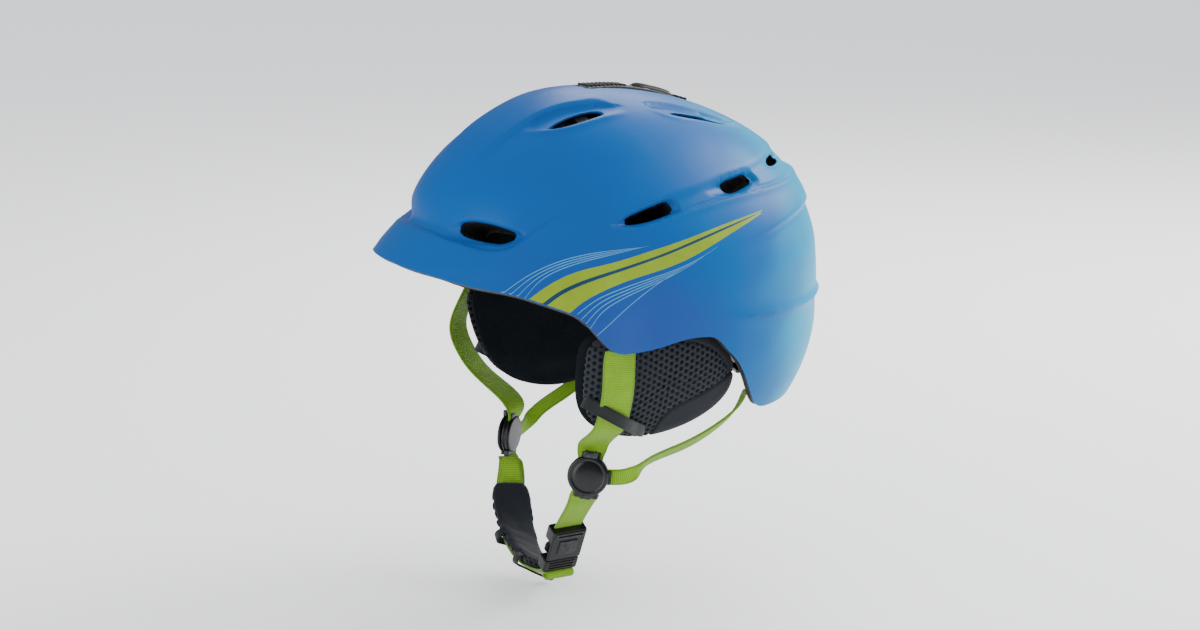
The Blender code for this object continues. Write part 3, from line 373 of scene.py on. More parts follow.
# ------------------------------------------------------------------ materials
def hard(name, colour, rough, grain=0.35, metal=0.0, wear=(0.045, 0.045, 0.048), blotch=0.10):
    """Moulded plastic, rubber or metal: fine grain, roughness blotches and paler worn edges."""
    mat = Material(name)
    place = mat.position()
    fine = mat.noise(place, scale=1.98, detail=4.0)
    broad = mat.noise(place, scale=0.05)
    worn = mat.pointiness().remap(span=(0.54, 0.66), to=(0.0, 0.75))
    worn = worn * mat.noise(place, scale=0.35, detail=4.0).remap(TIGHT)
    lighter = toned(colour, gain=1.4, offset=0.001)
    tone = mat.mix(broad.remap(WIDE, to=(0, 0.6)), colour, lighter)
    roughness = broad.remap(WIDE, to=(rough - blotch / 2, rough + blotch / 2))
    roughness = roughness + fine.remap(WIDE, to=(-0.04, 0.04))
    paint = mat.mix(worn, tone, wear)
    return mat.finish(
        paint, roughness, fine, strength=grain, distance=0.00012, extra={"Metallic": metal}
    )


def shell_paint():
    """Satin blue: cyan at the back, azure in the middle, violet-blue round the lower front; the fade is
    partly the paint's own and partly painted light and shade.
    """
    azure_front, azure, cyan = (0.000, 0.082, 0.330), (0.000, 0.112, 0.370), (0.000, 0.350, 0.580)
    violet, face_blue = (0.010, 0.062, 0.300), (0.000, 0.092, 0.330)
    crease_highlight_blue, grain_blue = (0.0, 0.17, 0.44), (0.0, 0.15, 0.42)
    mat = Material("shell_paint")
    place = mat.position()
    _, y, z = place.split()
    soft = mat.noise(place, scale=0.012, detail=2.0)
    # the fade is partly the paint's own tone and partly painted light: lighter cyan where the light
    # falls at the back, and darker violet-blue low at the front as painted shade
    back = y.remap(span=(-70, 130)) + soft.remap(WIDE, to=(-0.12, 0.12))
    low = z.remap(span=(-30, -105), smooth=True) * back.remap(span=(0.62, 0.12), smooth=True)
    front = y.remap(span=(-90, -140), smooth=True) * z.remap(span=(20, -60))
    grain = mat.noise(place, scale=6.0, detail=2.0)
    paint = azure_front
    for amount, colour in (
        (back.remap(span=(0.15, 0.62), smooth=True), azure),
        (back.remap(span=(0.55, 1.0), smooth=True), cyan),
        (low, violet),
        (front * 0.5, face_blue),
        # sharp creases and edges are painted paler: a painted highlight
        (mat.pointiness().remap(span=(0.530, 0.62), to=(0.0, 0.15)), crease_highlight_blue),
        (grain.remap(TIGHT, to=(0, 0.08)), grain_blue),
    ):
        paint = mat.mix(amount, paint, colour)
    roughness = mat.noise(place, scale=0.03, detail=4.0).remap(WIDE, to=(0.36, 0.44))
    roughness = roughness + grain.remap(WIDE, to=(-0.02, 0.02))
    extra = {"Specular IOR Level": 0.17, "Coat Roughness": 0.28}
    height = mat.noise(place, scale=1.6, detail=2.0)
    return mat.finish(paint, roughness, height, **PAINT_GRAIN, extra=extra)


def decal(name, colour):
    mat = Material(name)
    place = mat.position()
    cloud = mat.noise(place, scale=0.06).remap(WIDE)
    paint = mat.mix(cloud, colour, toned(colour, gain=1.16, offset=0.004))
    roughness = mat.noise(place, scale=3.0).remap(WIDE, to=(0.38, 0.46))
    return mat.finish(paint, roughness, mat.noise(place, scale=1.6, detail=2.0), **PAINT_GRAIN)


def webbing(name, colour, dark, pitch):
    """Woven tape: cross ribs, a finer twill and tight selvages.

    The tape attribute holds mm along, mm across from the middle, and half the width."""
    twill_pitch = 0.62
    mat = Material(name)
    place = mat.attribute("tape")
    along, across, half = place.split()
    uneven = along + mat.noise(place, scale=0.5, detail=2.0) * 0.5
    rib = (uneven * (2 * math.pi / pitch)).sine()
    twill = ((across * 1.0 + along * 0.5) * (2 * math.pi / twill_pitch)).sine()
    selvage = (half - across.math("ABSOLUTE", across)).remap(span=(1.5, 1.0))
    height = rib * 0.6 + twill * 0.3 - selvage * 0.5
    # the valleys of the ribs and twill are painted darker as painted shade; the selvages are also darker
    # in their own colour
    tone = mat.mix(height.remap(span=(-0.9, 0.7)), dark, colour)
    wear = mat.noise(place, scale=0.11, detail=4.0)
    lighter = toned(colour, gain=1.25, offset=0.02)
    tone = mat.mix(wear.remap(span=(0.35, 0.7), to=(0, 0.28)), tone, lighter)
    tone = mat.mix(selvage * 0.35, tone, dark)
    roughness = wear.remap(WIDE, to=(0.62, 0.78))
    extra = {"Sheen Weight": 0.25, "Sheen Roughness": 0.4, "Specular IOR Level": 0.35}
    return mat.finish(tone, roughness, height, strength=0.55, distance=0.00022, extra=extra)


def fabric(name, colour, light, scale=1.0):
    """Brushed or knitted cloth."""
    mat = Material(name)
    place = mat.position()
    broad = mat.noise(place, scale=0.045)
    nap = mat.noise(place, scale=0.6 * scale, detail=4.0, rough=0.65)
    fine = mat.noise(place, scale=4.5 * scale, detail=2.0)
    tone = mat.mix(nap.remap(span=(0.35, 0.68)), colour, light)
    tone = mat.mix(broad.remap(TIGHT, to=(0, 0.35)), tone, toned(colour, gain=0.6))
    extra = {
        "Sheen Weight": 0.12, "Sheen Roughness": 0.45,
        "Sheen Tint": toned(light, gain=5, offset=0.06), "Specular IOR Level": 0.2,
    }
    _, y, z = place.split()
    knit_rate = 2 * math.pi / (0.8 / scale)
    knit = (y * knit_rate).sine() * (z * knit_rate).sine()
    height = nap * 0.6 + fine * 0.5 + knit * 0.22
    roughness = nap.remap(WIDE, to=(0.85, 0.97))
    return mat.finish(tone, roughness, height, strength=0.6, distance=0.00030, extra=extra)


def spacer_mesh():
    """Open knit: a hexagonal net of yarn over holes painted near-black as shade, with a smooth rim and
    lower panel.
    """
    yarn_dark, yarn_mid, yarn_highlight = (0.007, 0.010, 0.016), (0.016, 0.022, 0.032), (0.028, 0.036, 0.050)
    plain_dark, plain_light = (0.006, 0.008, 0.013), (0.014, 0.017, 0.025)
    hole_shade = (0.0008, 0.0008, 0.001)
    mat = Material("spacer_mesh")
    across, up, _ = mat.attribute("pad_uv").split()
    plain = mat.attribute("pad_zone").split()[0]  # 1 on the smooth rim and panel
    rate = 2 * math.pi / (NET * 0.866)
    waves = None
    for angle in (0, 60, 120):
        cosine, sine = math.cos(math.radians(angle)), math.sin(math.radians(angle))
        phase = across * (rate * cosine) + up * (rate * sine)
        wave = phase.math("COSINE", phase)
        waves = wave if waves is None else waves + wave
    hole = waves.remap(span=(0.0, 0.6)) * (1.0 - plain)
    place = mat.position()
    nap = mat.noise(place, scale=1.4, detail=4.0, rough=0.65)
    yarn = mat.mix(nap.remap(TIGHT), yarn_dark, yarn_mid)
    # the yarn is painted lighter away from the holes: a painted highlight on its crests
    yarn = mat.mix(waves.remap(span=(-1.4, 0.2), to=(0.55, 0.0)), yarn, yarn_highlight)
    tone = mat.mix(plain, yarn, mat.mix(nap.remap(WIDE), plain_dark, plain_light))
    # the holes are painted near-black: painted shade inside them
    tone = mat.mix(hole, tone, hole_shade)
    height = mat.noise(place, scale=5.0, detail=2.0) * 0.12 - hole * 1.0
    extra = {"Sheen Weight": 0.12, "Specular IOR Level": 0.25}
    roughness = nap.remap(WIDE, to=(0.70, 0.88))
    return mat.finish(tone, roughness, height, strength=0.8, distance=0.0007, extra=extra)


def bead_foam():
    seam, bead, pale = (0.004, 0.004, 0.005), (0.016, 0.016, 0.019), (0.022, 0.022, 0.026)
    mat = Material("bead_foam")
    place = mat.position()
    cells = {"Scale": 0.30, "Vector": place}
    to_seam = mat.add(
        "ShaderNodeTexVoronoi", cells, output="Distance", feature="DISTANCE_TO_EDGE"
    )
    tone = mat.mix(to_seam.remap(span=(0.0, 0.10)), seam, bead)
    tone = mat.mix(mat.noise(place, scale=0.08).remap(TIGHT, to=(0, 0.5)), tone, pale)
    roughness = mat.noise(place, scale=2.0).remap(WIDE, to=(0.6, 0.8))
    height = to_seam.remap(span=(0.0, 0.16))
    return mat.finish(tone, roughness, height, strength=0.5, distance=0.0005)


PAINT = shell_paint()
LIME = decal("band_lime", (0.225, 0.330, 0.000))
TEAL = decal("band_gap", (0.000, 0.042, 0.090))
PALE = decal("line_pale", (0.060, 0.260, 0.520))
WEB = webbing("webbing_lime", (0.235, 0.460, 0.003), dark=(0.090, 0.215, 0.001), pitch=WEB_PITCH)
ELASTIC = webbing(
    "elastic_grey", (0.018, 0.022, 0.023), dark=(0.006, 0.008, 0.009), pitch=ELASTIC_PITCH
)
MESH = spacer_mesh()
FLEECE = fabric("fleece_navy", (0.0020, 0.0040, 0.0065), light=(0.0065, 0.0115, 0.0170))
fabric("binding_slate", (0.006, 0.007, 0.010), light=(0.014, 0.017, 0.022), scale=1.6)
FOAM = bead_foam()
PLASTIC = hard("plastic_black", (0.0022, 0.0028, 0.0042), rough=0.36)
GLOSS = hard("plastic_gloss", (0.0018, 0.0026, 0.0042), rough=0.25, grain=0.15, blotch=0.14)
SLIDER = hard("plastic_slider", (0.014, 0.014, 0.015), rough=0.45, wear=(0.07, 0.07, 0.07))
RUBBER = hard("rubber_black", (0.007, 0.007, 0.008), rough=0.62, grain=0.6)
hard("stud_nickel", (0.55, 0.56, 0.58), rough=0.26, metal=1.0, wear=(0.85, 0.85, 0.86))


# ------------------------------------------------------------------ mesh helpers
def to_world(points):
    return (np.asarray(points, float) + LIFT) / 1000.0


def add_object(name, mesh):
    mesh.name = name
    obj = bpy.data.objects.new(name, mesh)
    bpy.context.scene.collection.objects.link(obj)
    return obj


def shade_smooth(mesh):
    mesh.polygons.foreach_set("use_smooth", np.ones(len(mesh.polygons), bool))


def make(name, points, faces, mat, body=None, sharp=180.0):
    """A closed piece from design-frame points; edges over the sharp angle stay crisp."""
    mesh = bpy.data.meshes.new(name)
    points = to_world(np.asarray(points, float).reshape(-1, 3))
    mesh.from_pydata(points.tolist(), [], [tuple(int(i) for i in face) for face in faces])
    mesh.validate()
    editor = bmesh.new()
    editor.from_mesh(mesh)
    bmesh.ops.recalc_face_normals(editor, faces=editor.faces)
    editor.to_mesh(mesh)
    editor.free()
    shade_smooth(mesh)
    if sharp < 180:
        mesh.set_sharp_from_angle(angle=math.radians(sharp))
    mesh.materials.append(mat)
    obj = add_object(name, mesh)
    if body:
        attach(obj, body)
    return obj


def declare(obj, replaces=None):
    """Hides the CAD piece named by replaces, if there is one; obj is not used."""
    if replaces:
        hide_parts(replaces)


def blend(obj, second, start, end):
    """Bakes the object's transform into its mesh; second, start and end are not used."""
    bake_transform(obj)


def add_attribute(obj, name, *columns):
    data = obj.data.attributes.new(name, "FLOAT_VECTOR", "POINT").data
    data.foreach_set("vector", np.stack(columns, 1).astype(np.float32).ravel())


def read_vertices(obj, field):
    values = np.zeros(len(obj.data.vertices) * 3)
    obj.data.vertices.foreach_get(field, values)
    return values.reshape(-1, 3)


def write_coords(obj, coords):
    obj.data.vertices.foreach_set("co", coords.ravel())
    obj.data.update()


def design(obj):
    """Vertices in the design frame."""
    return read_vertices(obj, "co") * 1000.0 - LIFT


def push(obj, distance):
    """Moves each vertex along its normal, in mm."""
    shift = read_vertices(obj, "normal") * (np.asarray(distance)[:, None] / 1000)
    write_coords(obj, read_vertices(obj, "co") + shift)


def modify(obj, kind, **props):
    modifier = obj.modifiers.new(kind.lower(), kind)
    for key, value in props.items():
        setattr(modifier, key, value)
    return modifier


def apply_all(obj):
    graph = bpy.context.evaluated_depsgraph_get()
    mesh = bpy.data.meshes.new_from_object(
        obj.evaluated_get(graph), preserve_all_data_layers=True, depsgraph=graph
    )
    obj.modifiers.clear()
    old = obj.data
    obj.data = mesh
    if old.users == 0:
        bpy.data.meshes.remove(old)


def mirrored(obj, name):
    twin = add_object(name, obj.data.copy())
    write_coords(twin, read_vertices(twin, "co") * [-1, 1, 1])
    twin.data.flip_normals()
    twin.data.update()
    return twin


def ring_faces(rings, sides, closed=False):
    """Quads between rings of points, either closed on themselves or capped at both ends."""
    faces = []
    for i in range(rings if closed else rings - 1):
        here, there = i * sides, (i + 1) % rings * sides
        for j in range(sides):
            k = (j + 1) % sides
            faces.append((here + j, here + k, there + k, there + j))
    if not closed:
        faces += [tuple(range(sides))[::-1], tuple(range((rings - 1) * sides, rings * sides))]
    return faces


def pill(centre, axes, halves, radius, steps=4):
    """A box with rounded edges, from three axes and the half-sizes along them."""
    centre, first, second, third = (np.asarray(value, float) for value in (centre, *axes))
    flat_1, flat_2, flat_3 = (half - radius for half in halves)
    angles = np.linspace(0, math.pi / 2, steps + 1)
    corners = []
    for i, signs in enumerate(((1, 1), (-1, 1), (-1, -1), (1, -1))):
        for angle in angles if i % 2 == 0 else angles[::-1]:
            corners.append((*signs, radius * math.cos(angle), radius * math.sin(angle)))
    levels = [(-flat_3 - radius * math.cos(angle), math.sin(angle)) for angle in angles]
    levels += [(flat_3 + radius * math.cos(angle), math.sin(angle)) for angle in angles[::-1]]
    points = [
        centre
        + first * (sign_1 * (flat_1 + round_1 * spread))
        + second * (sign_2 * (flat_2 + round_2 * spread))
        + third * height
        for height, spread in levels
        for sign_1, sign_2, round_1, round_2 in corners
    ]
    return np.array(points), ring_faces(len(levels), len(corners))


def pills(origin, axes, rows):
    """One pill for each (place along the axes, halves, radius)."""
    first, second, third = axes
    return [
        pill(origin + first * x + second * y + third * z, axes, halves, radius)
        for (x, y, z), halves, radius in rows
    ]


def lathe(profile, origin, axis, hint, count=96):
    """A turned solid from (radius, height) pairs, closed on its axis."""
    axis, side, other = basis(axis, hint)
    angles = np.arange(count) * 2 * math.pi / count
    spokes = np.cos(angles)[:, None] * side + np.sin(angles)[:, None] * other
    points = [origin + axis * profile[0][1], origin + axis * profile[-1][1]]
    for radius, height in profile:
        points += list(origin + axis * height + spokes * radius)
    faces, last = [], 2 + (len(profile) - 1) * count
    for j in range(count):
        k = (j + 1) % count
        faces.append((0, 2 + k, 2 + j))
        for here in range(2, last, count):
            faces.append((here + j, here + k, here + count + k, here + count + j))
        faces.append((1, last + j, last + k))
    return np.array(points), faces


def joined(parts):
    points, faces, count = [], [], 0
    for part_points, part_faces in parts:
        points.append(part_points)
        faces += [tuple(i + count for i in face) for face in part_faces]
        count += len(part_points)
    return np.concatenate(points), faces


def compact(points, faces):
    """Drops the points that no face uses."""
    used = np.zeros(len(points), bool)
    for face in faces:
        used[list(face)] = True
    index = np.cumsum(used) - 1
    return points[used], [tuple(index[list(face)]) for face in faces]


def slab(name, top, low, mat, body):
    """A thin closed sheet between two point grids."""
    rows, columns = top.shape[:2]
    count = rows * columns
    i, j = np.meshgrid(np.arange(rows - 1), np.arange(columns - 1), indexing="ij")
    corner = (i * columns + j).ravel()
    quads = np.stack([corner, corner + columns, corner + columns + 1, corner + 1], 1)
    faces = [tuple(quad) for quad in quads] + [tuple(quad[::-1] + count) for quad in quads]
    rim = list(range(columns))
    rim += [k * columns + columns - 1 for k in range(1, rows)]
    rim += [(rows - 1) * columns + k for k in range(columns - 2, -1, -1)]
    rim += [k * columns for k in range(rows - 2, 0, -1)]
    for here, there in zip(rim, rim[1:] + rim[:1]):
        faces.append((here, there, there + count, here + count))
    points = np.concatenate([top.reshape(-1, 3), low.reshape(-1, 3)])
    return make(name, points, faces, mat, body, sharp=50)


# ------------------------------------------------------------------ vents and relief of the shell
# hollows that lead into the side openings: outline of (turn, drop), depth, turns it deepens over
HOLLOWS = {
    "front": (
        [(8.5, 0.806), (14, 0.782), (17.5, 0.764), (22, 0.752), (29, 0.756), (37.6, 0.777),
         (39.6, 0.800), (33.5, 0.831), (23, 0.829), (14, 0.822)], 3.4, (9.0, 22.0)),
    "side": (
        [(62.5, 0.768), (69.5, 0.741), (74.0, 0.723), (81.5, 0.701), (90.0, 0.680),
         (93.6, 0.690), (94.2, 0.735), (88.5, 0.752), (79.5, 0.772), (70, 0.779)],
        3.6, (62.0, 80.0)),
    "rear_side": (
        [(106.0, 0.672), (112.5, 0.650), (119.0, 0.635), (132.0, 0.616), (135.4, 0.624),
         (136.6, 0.664), (123.5, 0.700), (112.0, 0.698)], 3.4, (106.0, 121.0)),
    "back": ([(144.0, 0.634), (149.5, 0.592), (162.5, 0.580), (165.5, 0.632)], 2.4, (143.0, 152.0)),
}
# outlines of (turn, drop) on the left half
VENTS = {
    "front": [
        (16.5, 0.792), (17.8, 0.768), (22, 0.757), (29, 0.762), (36.3, 0.782), (36.5, 0.802),
        (32.5, 0.819), (23, 0.812), (17.5, 0.804)],
    "scoop": [
        (38.5, 0.386), (41.5, 0.342), (48.0, 0.302), (57.5, 0.272), (68, 0.257), (76.5, 0.262),
        (78.0, 0.294), (70.0, 0.317), (62.0, 0.337), (54.0, 0.358), (46.0, 0.380)],
    "rear_scoop": [
        (128.0, 0.330), (138.0, 0.318), (150.0, 0.360), (158.0, 0.430), (152.0, 0.440),
        (140.0, 0.385), (131.0, 0.350)],
    "side": [
        (70.2, 0.752), (74.0, 0.730), (81.5, 0.708), (89.5, 0.688), (92.0, 0.697),
        (92.3, 0.728), (88.0, 0.741), (79.5, 0.758), (72.5, 0.764)],
    "rear_side": [
        (116.5, 0.662), (119.0, 0.642), (131.5, 0.624), (133.5, 0.630), (134.2, 0.660),
        (122.0, 0.687), (119.0, 0.684)],
    "back": [(149.0, 0.630), (151.0, 0.595), (162.0, 0.590), (163.5, 0.625)],
}


def mm_per_unit(outline):
    """mm per degree of turn and per unit of drop at the middle of an outline."""
    turn, drop = np.asarray(outline, float).mean(0)
    per_turn = np.linalg.norm(surface(turn + 0.5, drop) - surface(turn - 0.5, drop))
    per_drop = np.linalg.norm(surface(turn, drop + 0.005) - surface(turn, drop - 0.005)) * 100
    return float(per_turn), float(per_drop)


class Line:
    """A feature line on the left half of the shell, from (turn, drop) corners."""

    def __init__(self, corners, count=60):
        corners = np.asarray(corners, float)
        stations = travel(corners * [1.6, 170])  # rough mm per degree and per unit of drop
        t = np.linspace(0, stations[-1], count)
        self.turn, self.drop = (spline(stations, column)(t) for column in corners.T)
        self.points = surface(self.turn, self.drop)
        self.length = travel(self.points)
        self.box = (self.turn.min(), self.turn.max(), self.drop.min(), self.drop.max())

    def field(self, turn, drop, points):
        """Distance in mm, positive on the lower side, and the place along the line, 0 to 1."""
        edge = np.diff(self.points, axis=0)
        offset = points[:, None, :] - self.points[:-1][None]
        t = np.clip((offset * edge).sum(2) / (edge * edge).sum(1), 0, 1)
        squared = ((offset - t[..., None] * edge) ** 2).sum(2)
        i = squared.argmin(1)
        best = np.arange(len(points)), i
        along = (self.length[i] + t[best] * np.diff(self.length)[i]) / self.length[-1]
        step_turn, step_drop = np.diff(self.turn)[i], np.diff(self.drop)[i]
        cross = step_turn * (drop - self.drop[i]) - step_drop * (turn - self.turn[i])
        return np.sqrt(squared[best]) * np.sign(cross + 1e-12), along


BRIM_LINE = Line([
    (0, 0.812), (8, 0.813), (15, 0.822), (23, 0.832), (30.5, 0.840), (36, 0.826),
    (40, 0.790), (46, 0.738), (54, 0.678), (60, 0.64)])
CROWN_LINE = Line([
    (12, 0.60), (15.5, 0.505), (20, 0.425), (26, 0.335), (38.5, 0.262), (61.5, 0.222),
    (85, 0.217), (93, 0.235)])
SCOOP_LOW = Line([
    (24, 0.41), (31, 0.398), (38, 0.392), (51.5, 0.371), (64, 0.340), (80, 0.312),
    (93, 0.298), (102.5, 0.292)])
REAR_TOP = Line([(118, 0.235), (124, 0.243), (143.5, 0.277), (155, 0.350), (165, 0.450)])
REAR_LOW = Line([
    (118, 0.262), (123, 0.325), (129, 0.362), (140, 0.402), (151, 0.452), (165, 0.490)])
BELT_LOW = Line([
    (62, 0.748), (66, 0.769), (73, 0.782), (82, 0.768), (91, 0.748), (105.5, 0.722),
    (125, 0.702), (142.5, 0.695), (160, 0.685), (180, 0.680)])
BELT_TOP = Line([
    (62, 0.742), (68, 0.722), (80, 0.692), (92.5, 0.664), (105.5, 0.640), (115.5, 0.618),
    (133, 0.598), (150, 0.575), (165, 0.565), (180, 0.560)])
WAIST = Line([(109, 0.890), (122, 0.872), (135, 0.843), (147, 0.818), (166, 0.802), (180, 0.797)])
NAPE = Line([(99, 1.118), (107, 1.128), (118, 1.140), (135, 1.150), (156, 1.138), (180, 1.150)])


def step_down(distance, slow, fast, side):
    """1 on the line, falling slowly on one side (+1 lower, -1 upper) and fast on the other."""
    signed = distance * side
    gentle = np.exp(-((np.clip(signed, 0, None) / slow) ** 2))
    return np.where(signed >= 0, gentle, 1 - ramp(0, 1, np.clip(-signed, 0, None) / fast))


class Relief:
    """Depths under the plain surface at a list of places, built up feature by feature."""

    def __init__(self, turn, drop):
        self.turn, self.drop = away(turn), drop
        self.points = surface(self.turn, drop)
        self.depth = np.zeros(len(drop))

    def rows(self, box, margin_turn, margin_drop):
        turn_min, turn_max, drop_min, drop_max = box
        across = (self.turn > turn_min - margin_turn) & (self.turn < turn_max + margin_turn)
        down = (self.drop > drop_min - margin_drop) & (self.drop < drop_max + margin_drop)
        return np.flatnonzero(across & down)

    def field(self, line, rows):
        return line.field(self.turn[rows], self.drop[rows], self.points[rows])

    def near(self, line, margin_turn, margin_drop):
        rows = self.rows(line.box, margin_turn, margin_drop)
        return rows, *self.field(line, rows)

    def scoop(self, box, margin_turn, upper, lower, depth, floor_end, widths, follow, fades):
        """A hollow between two lines, deepest at the lower; fades run along the followed line."""
        rows = self.rows(box, margin_turn, 0.03)
        below, _ = self.field(upper, rows)
        past, _ = self.field(lower, rows)
        _, along = self.field(follow, rows)
        wide = np.clip(below, 0, None) + np.clip(-past, 0, None)
        floor = np.clip(-past, 0, None) / np.maximum(wide, 1e-3)
        sunk = depth * ramp(0.0, floor_end, floor) * ramp(0, 2.4, below) * ramp(0, 1.2, -past)
        sunk = sunk * ramp(*widths, wide)
        for fade in fades:
            sunk = sunk * ramp(*fade, along)
        self.depth[rows] += np.where((below > 0) & (past < 0), sunk, 0)

    def ridge(self, line, height, centre, fade_in, fade_out):
        rows, dist, along = self.near(line, 10, 0.1)
        bump = height * np.exp(-(((dist - centre) / 2.4) ** 2))
        self.depth[rows] -= bump * ramp(0.0, fade_in, along) * ramp(1.0, fade_out, along)

    def crown_step(self):
        """A step down from the crown panel towards the sides."""
        rows, dist, along = self.near(CROWN_LINE, 25, 0.2)
        lip = np.where(dist < 0, np.exp(-((dist / 11) ** 2)), 1 - ramp(0, 2.2, dist))
        proud = ramp(0, 0.30, along) * ramp(1.0, 0.86, along)
        self.depth[rows] += (1.1 * step_down(dist, 12, 2.6, 1) - 1.3 * lip) * proud

    def belt(self):
        """The channel of the side vents, with a crisp lower ridge."""
        rows = self.rows((62, 181, 0.56, 0.79), 4, 0.06)
        below, _ = self.field(BELT_TOP, rows)
        past, along = self.field(BELT_LOW, rows)
        floor = ramp(0, 7.5, below) * ramp(0, 2.6, -past) * ramp(0.0, 0.10, along)
        self.depth[rows] += np.where((below > 0) & (past < 0), 2.1 * floor, 0)
        ridge = 0.7 * np.exp(-(((past - 0.8) / 2.6) ** 2))
        self.depth[rows] -= ridge * ramp(0.0, 0.10 - 0.02, along)

    def nape_ridge(self):
        rows, dist, along = self.near(NAPE, 12, 0.1)
        form = -2.0 * np.exp(-((dist / 3.0) ** 2)) + 0.9 * step_down(dist - 2, 12, 3, 1)
        self.depth[rows] += form * ramp(0, 0.30, along)

    def hollows(self):
        """Each is soft at its front end and crisp at the top and the rear."""
        for corners, deep, start in HOLLOWS.values():
            outline = rounded(corners, 3, 0.18)
            (turn_min, drop_min), (turn_max, drop_max) = outline.min(0), outline.max(0)
            rows = self.rows((turn_min, turn_max, drop_min, drop_max), 1, 0.01)
            scale = mm_per_unit(outline)
            x, y = self.turn[rows] * scale[0], self.drop[rows] * scale[1]
            dist, _, _ = outline_distance(x, y, outline * scale)
            self.depth[rows] += deep * ramp(*start, self.turn[rows]) * ramp(0.7, -3.0, dist)

    def limit_over_shutter(self):
        """The shutter plate slides under the crown, so nothing there sinks as far as 3.3."""
        x, y = np.abs(self.points[:, 0]), self.points[:, 1]
        rows = (x < 66) & (y > -90) & (y < 56) & (self.drop < 0.6)
        depth = self.depth[rows]
        self.depth[rows] = np.where(depth > 0, 3.3 * np.tanh(np.clip(depth, 0, None) / 3.3), depth)

    def track_groove(self):
        dist = rectangle(
            self.points[:, 0], self.points[:, 1],
            TRACK_HALF_X + GROOVE_ROOM, TRACK_FRONT - GROOVE_ROOM, TRACK_REAR + GROOVE_ROOM,
        )
        rows = (dist < 4) & (self.drop < 0.75)
        groove = 1.35 * ramp(0.5, -0.4, dist[rows])
        self.depth[rows] = self.depth[rows] * ramp(-1.0, 3.5, dist[rows]) + groove


def relief(turn, drop):
    """How far the finished shell lies under the plain surface, in mm."""
    form = Relief(np.ravel(turn), np.ravel(drop))
    # the forehead sinks towards the brim's upper crease
    rows, dist, along = form.near(BRIM_LINE, 14, 0.16)
    form.depth[rows] += 2.5 * step_down(dist, 13, 3.0, -1) * ramp(1.0, 0.72, along)
    form.crown_step()
    form.scoop(
        (24, 103, 0.20, 0.41), 3, CROWN_LINE, SCOOP_LOW, depth=2.6, floor_end=0.85,
        widths=(2, 15), follow=SCOOP_LOW, fades=((1.0, 0.82), (0.02, 0.12)),
    )
    form.ridge(SCOOP_LOW, height=1.0, centre=0.8, fade_in=0.25, fade_out=0.7)
    form.scoop(
        (118, 166, 0.23, 0.49), 4, REAR_TOP, REAR_LOW, depth=3.4, floor_end=0.8,
        widths=(2, 12), follow=REAR_TOP, fades=((1.0, 0.8), (0.0, 0.15)),
    )
    form.ridge(REAR_LOW, height=0.5, centre=0.6, fade_in=0.2, fade_out=0.75)
    form.belt()
    # the surface below the waist crease sinks
    rows, dist, along = form.near(WAIST, 14, 0.16)
    form.depth[rows] += 2.6 * step_down(dist, 17, 2.9, 1) * ramp(0, 0.35, along)
    form.nape_ridge()
    form.hollows()
    form.limit_over_shutter()
    form.track_groove()
    return form.depth.reshape(np.shape(turn))


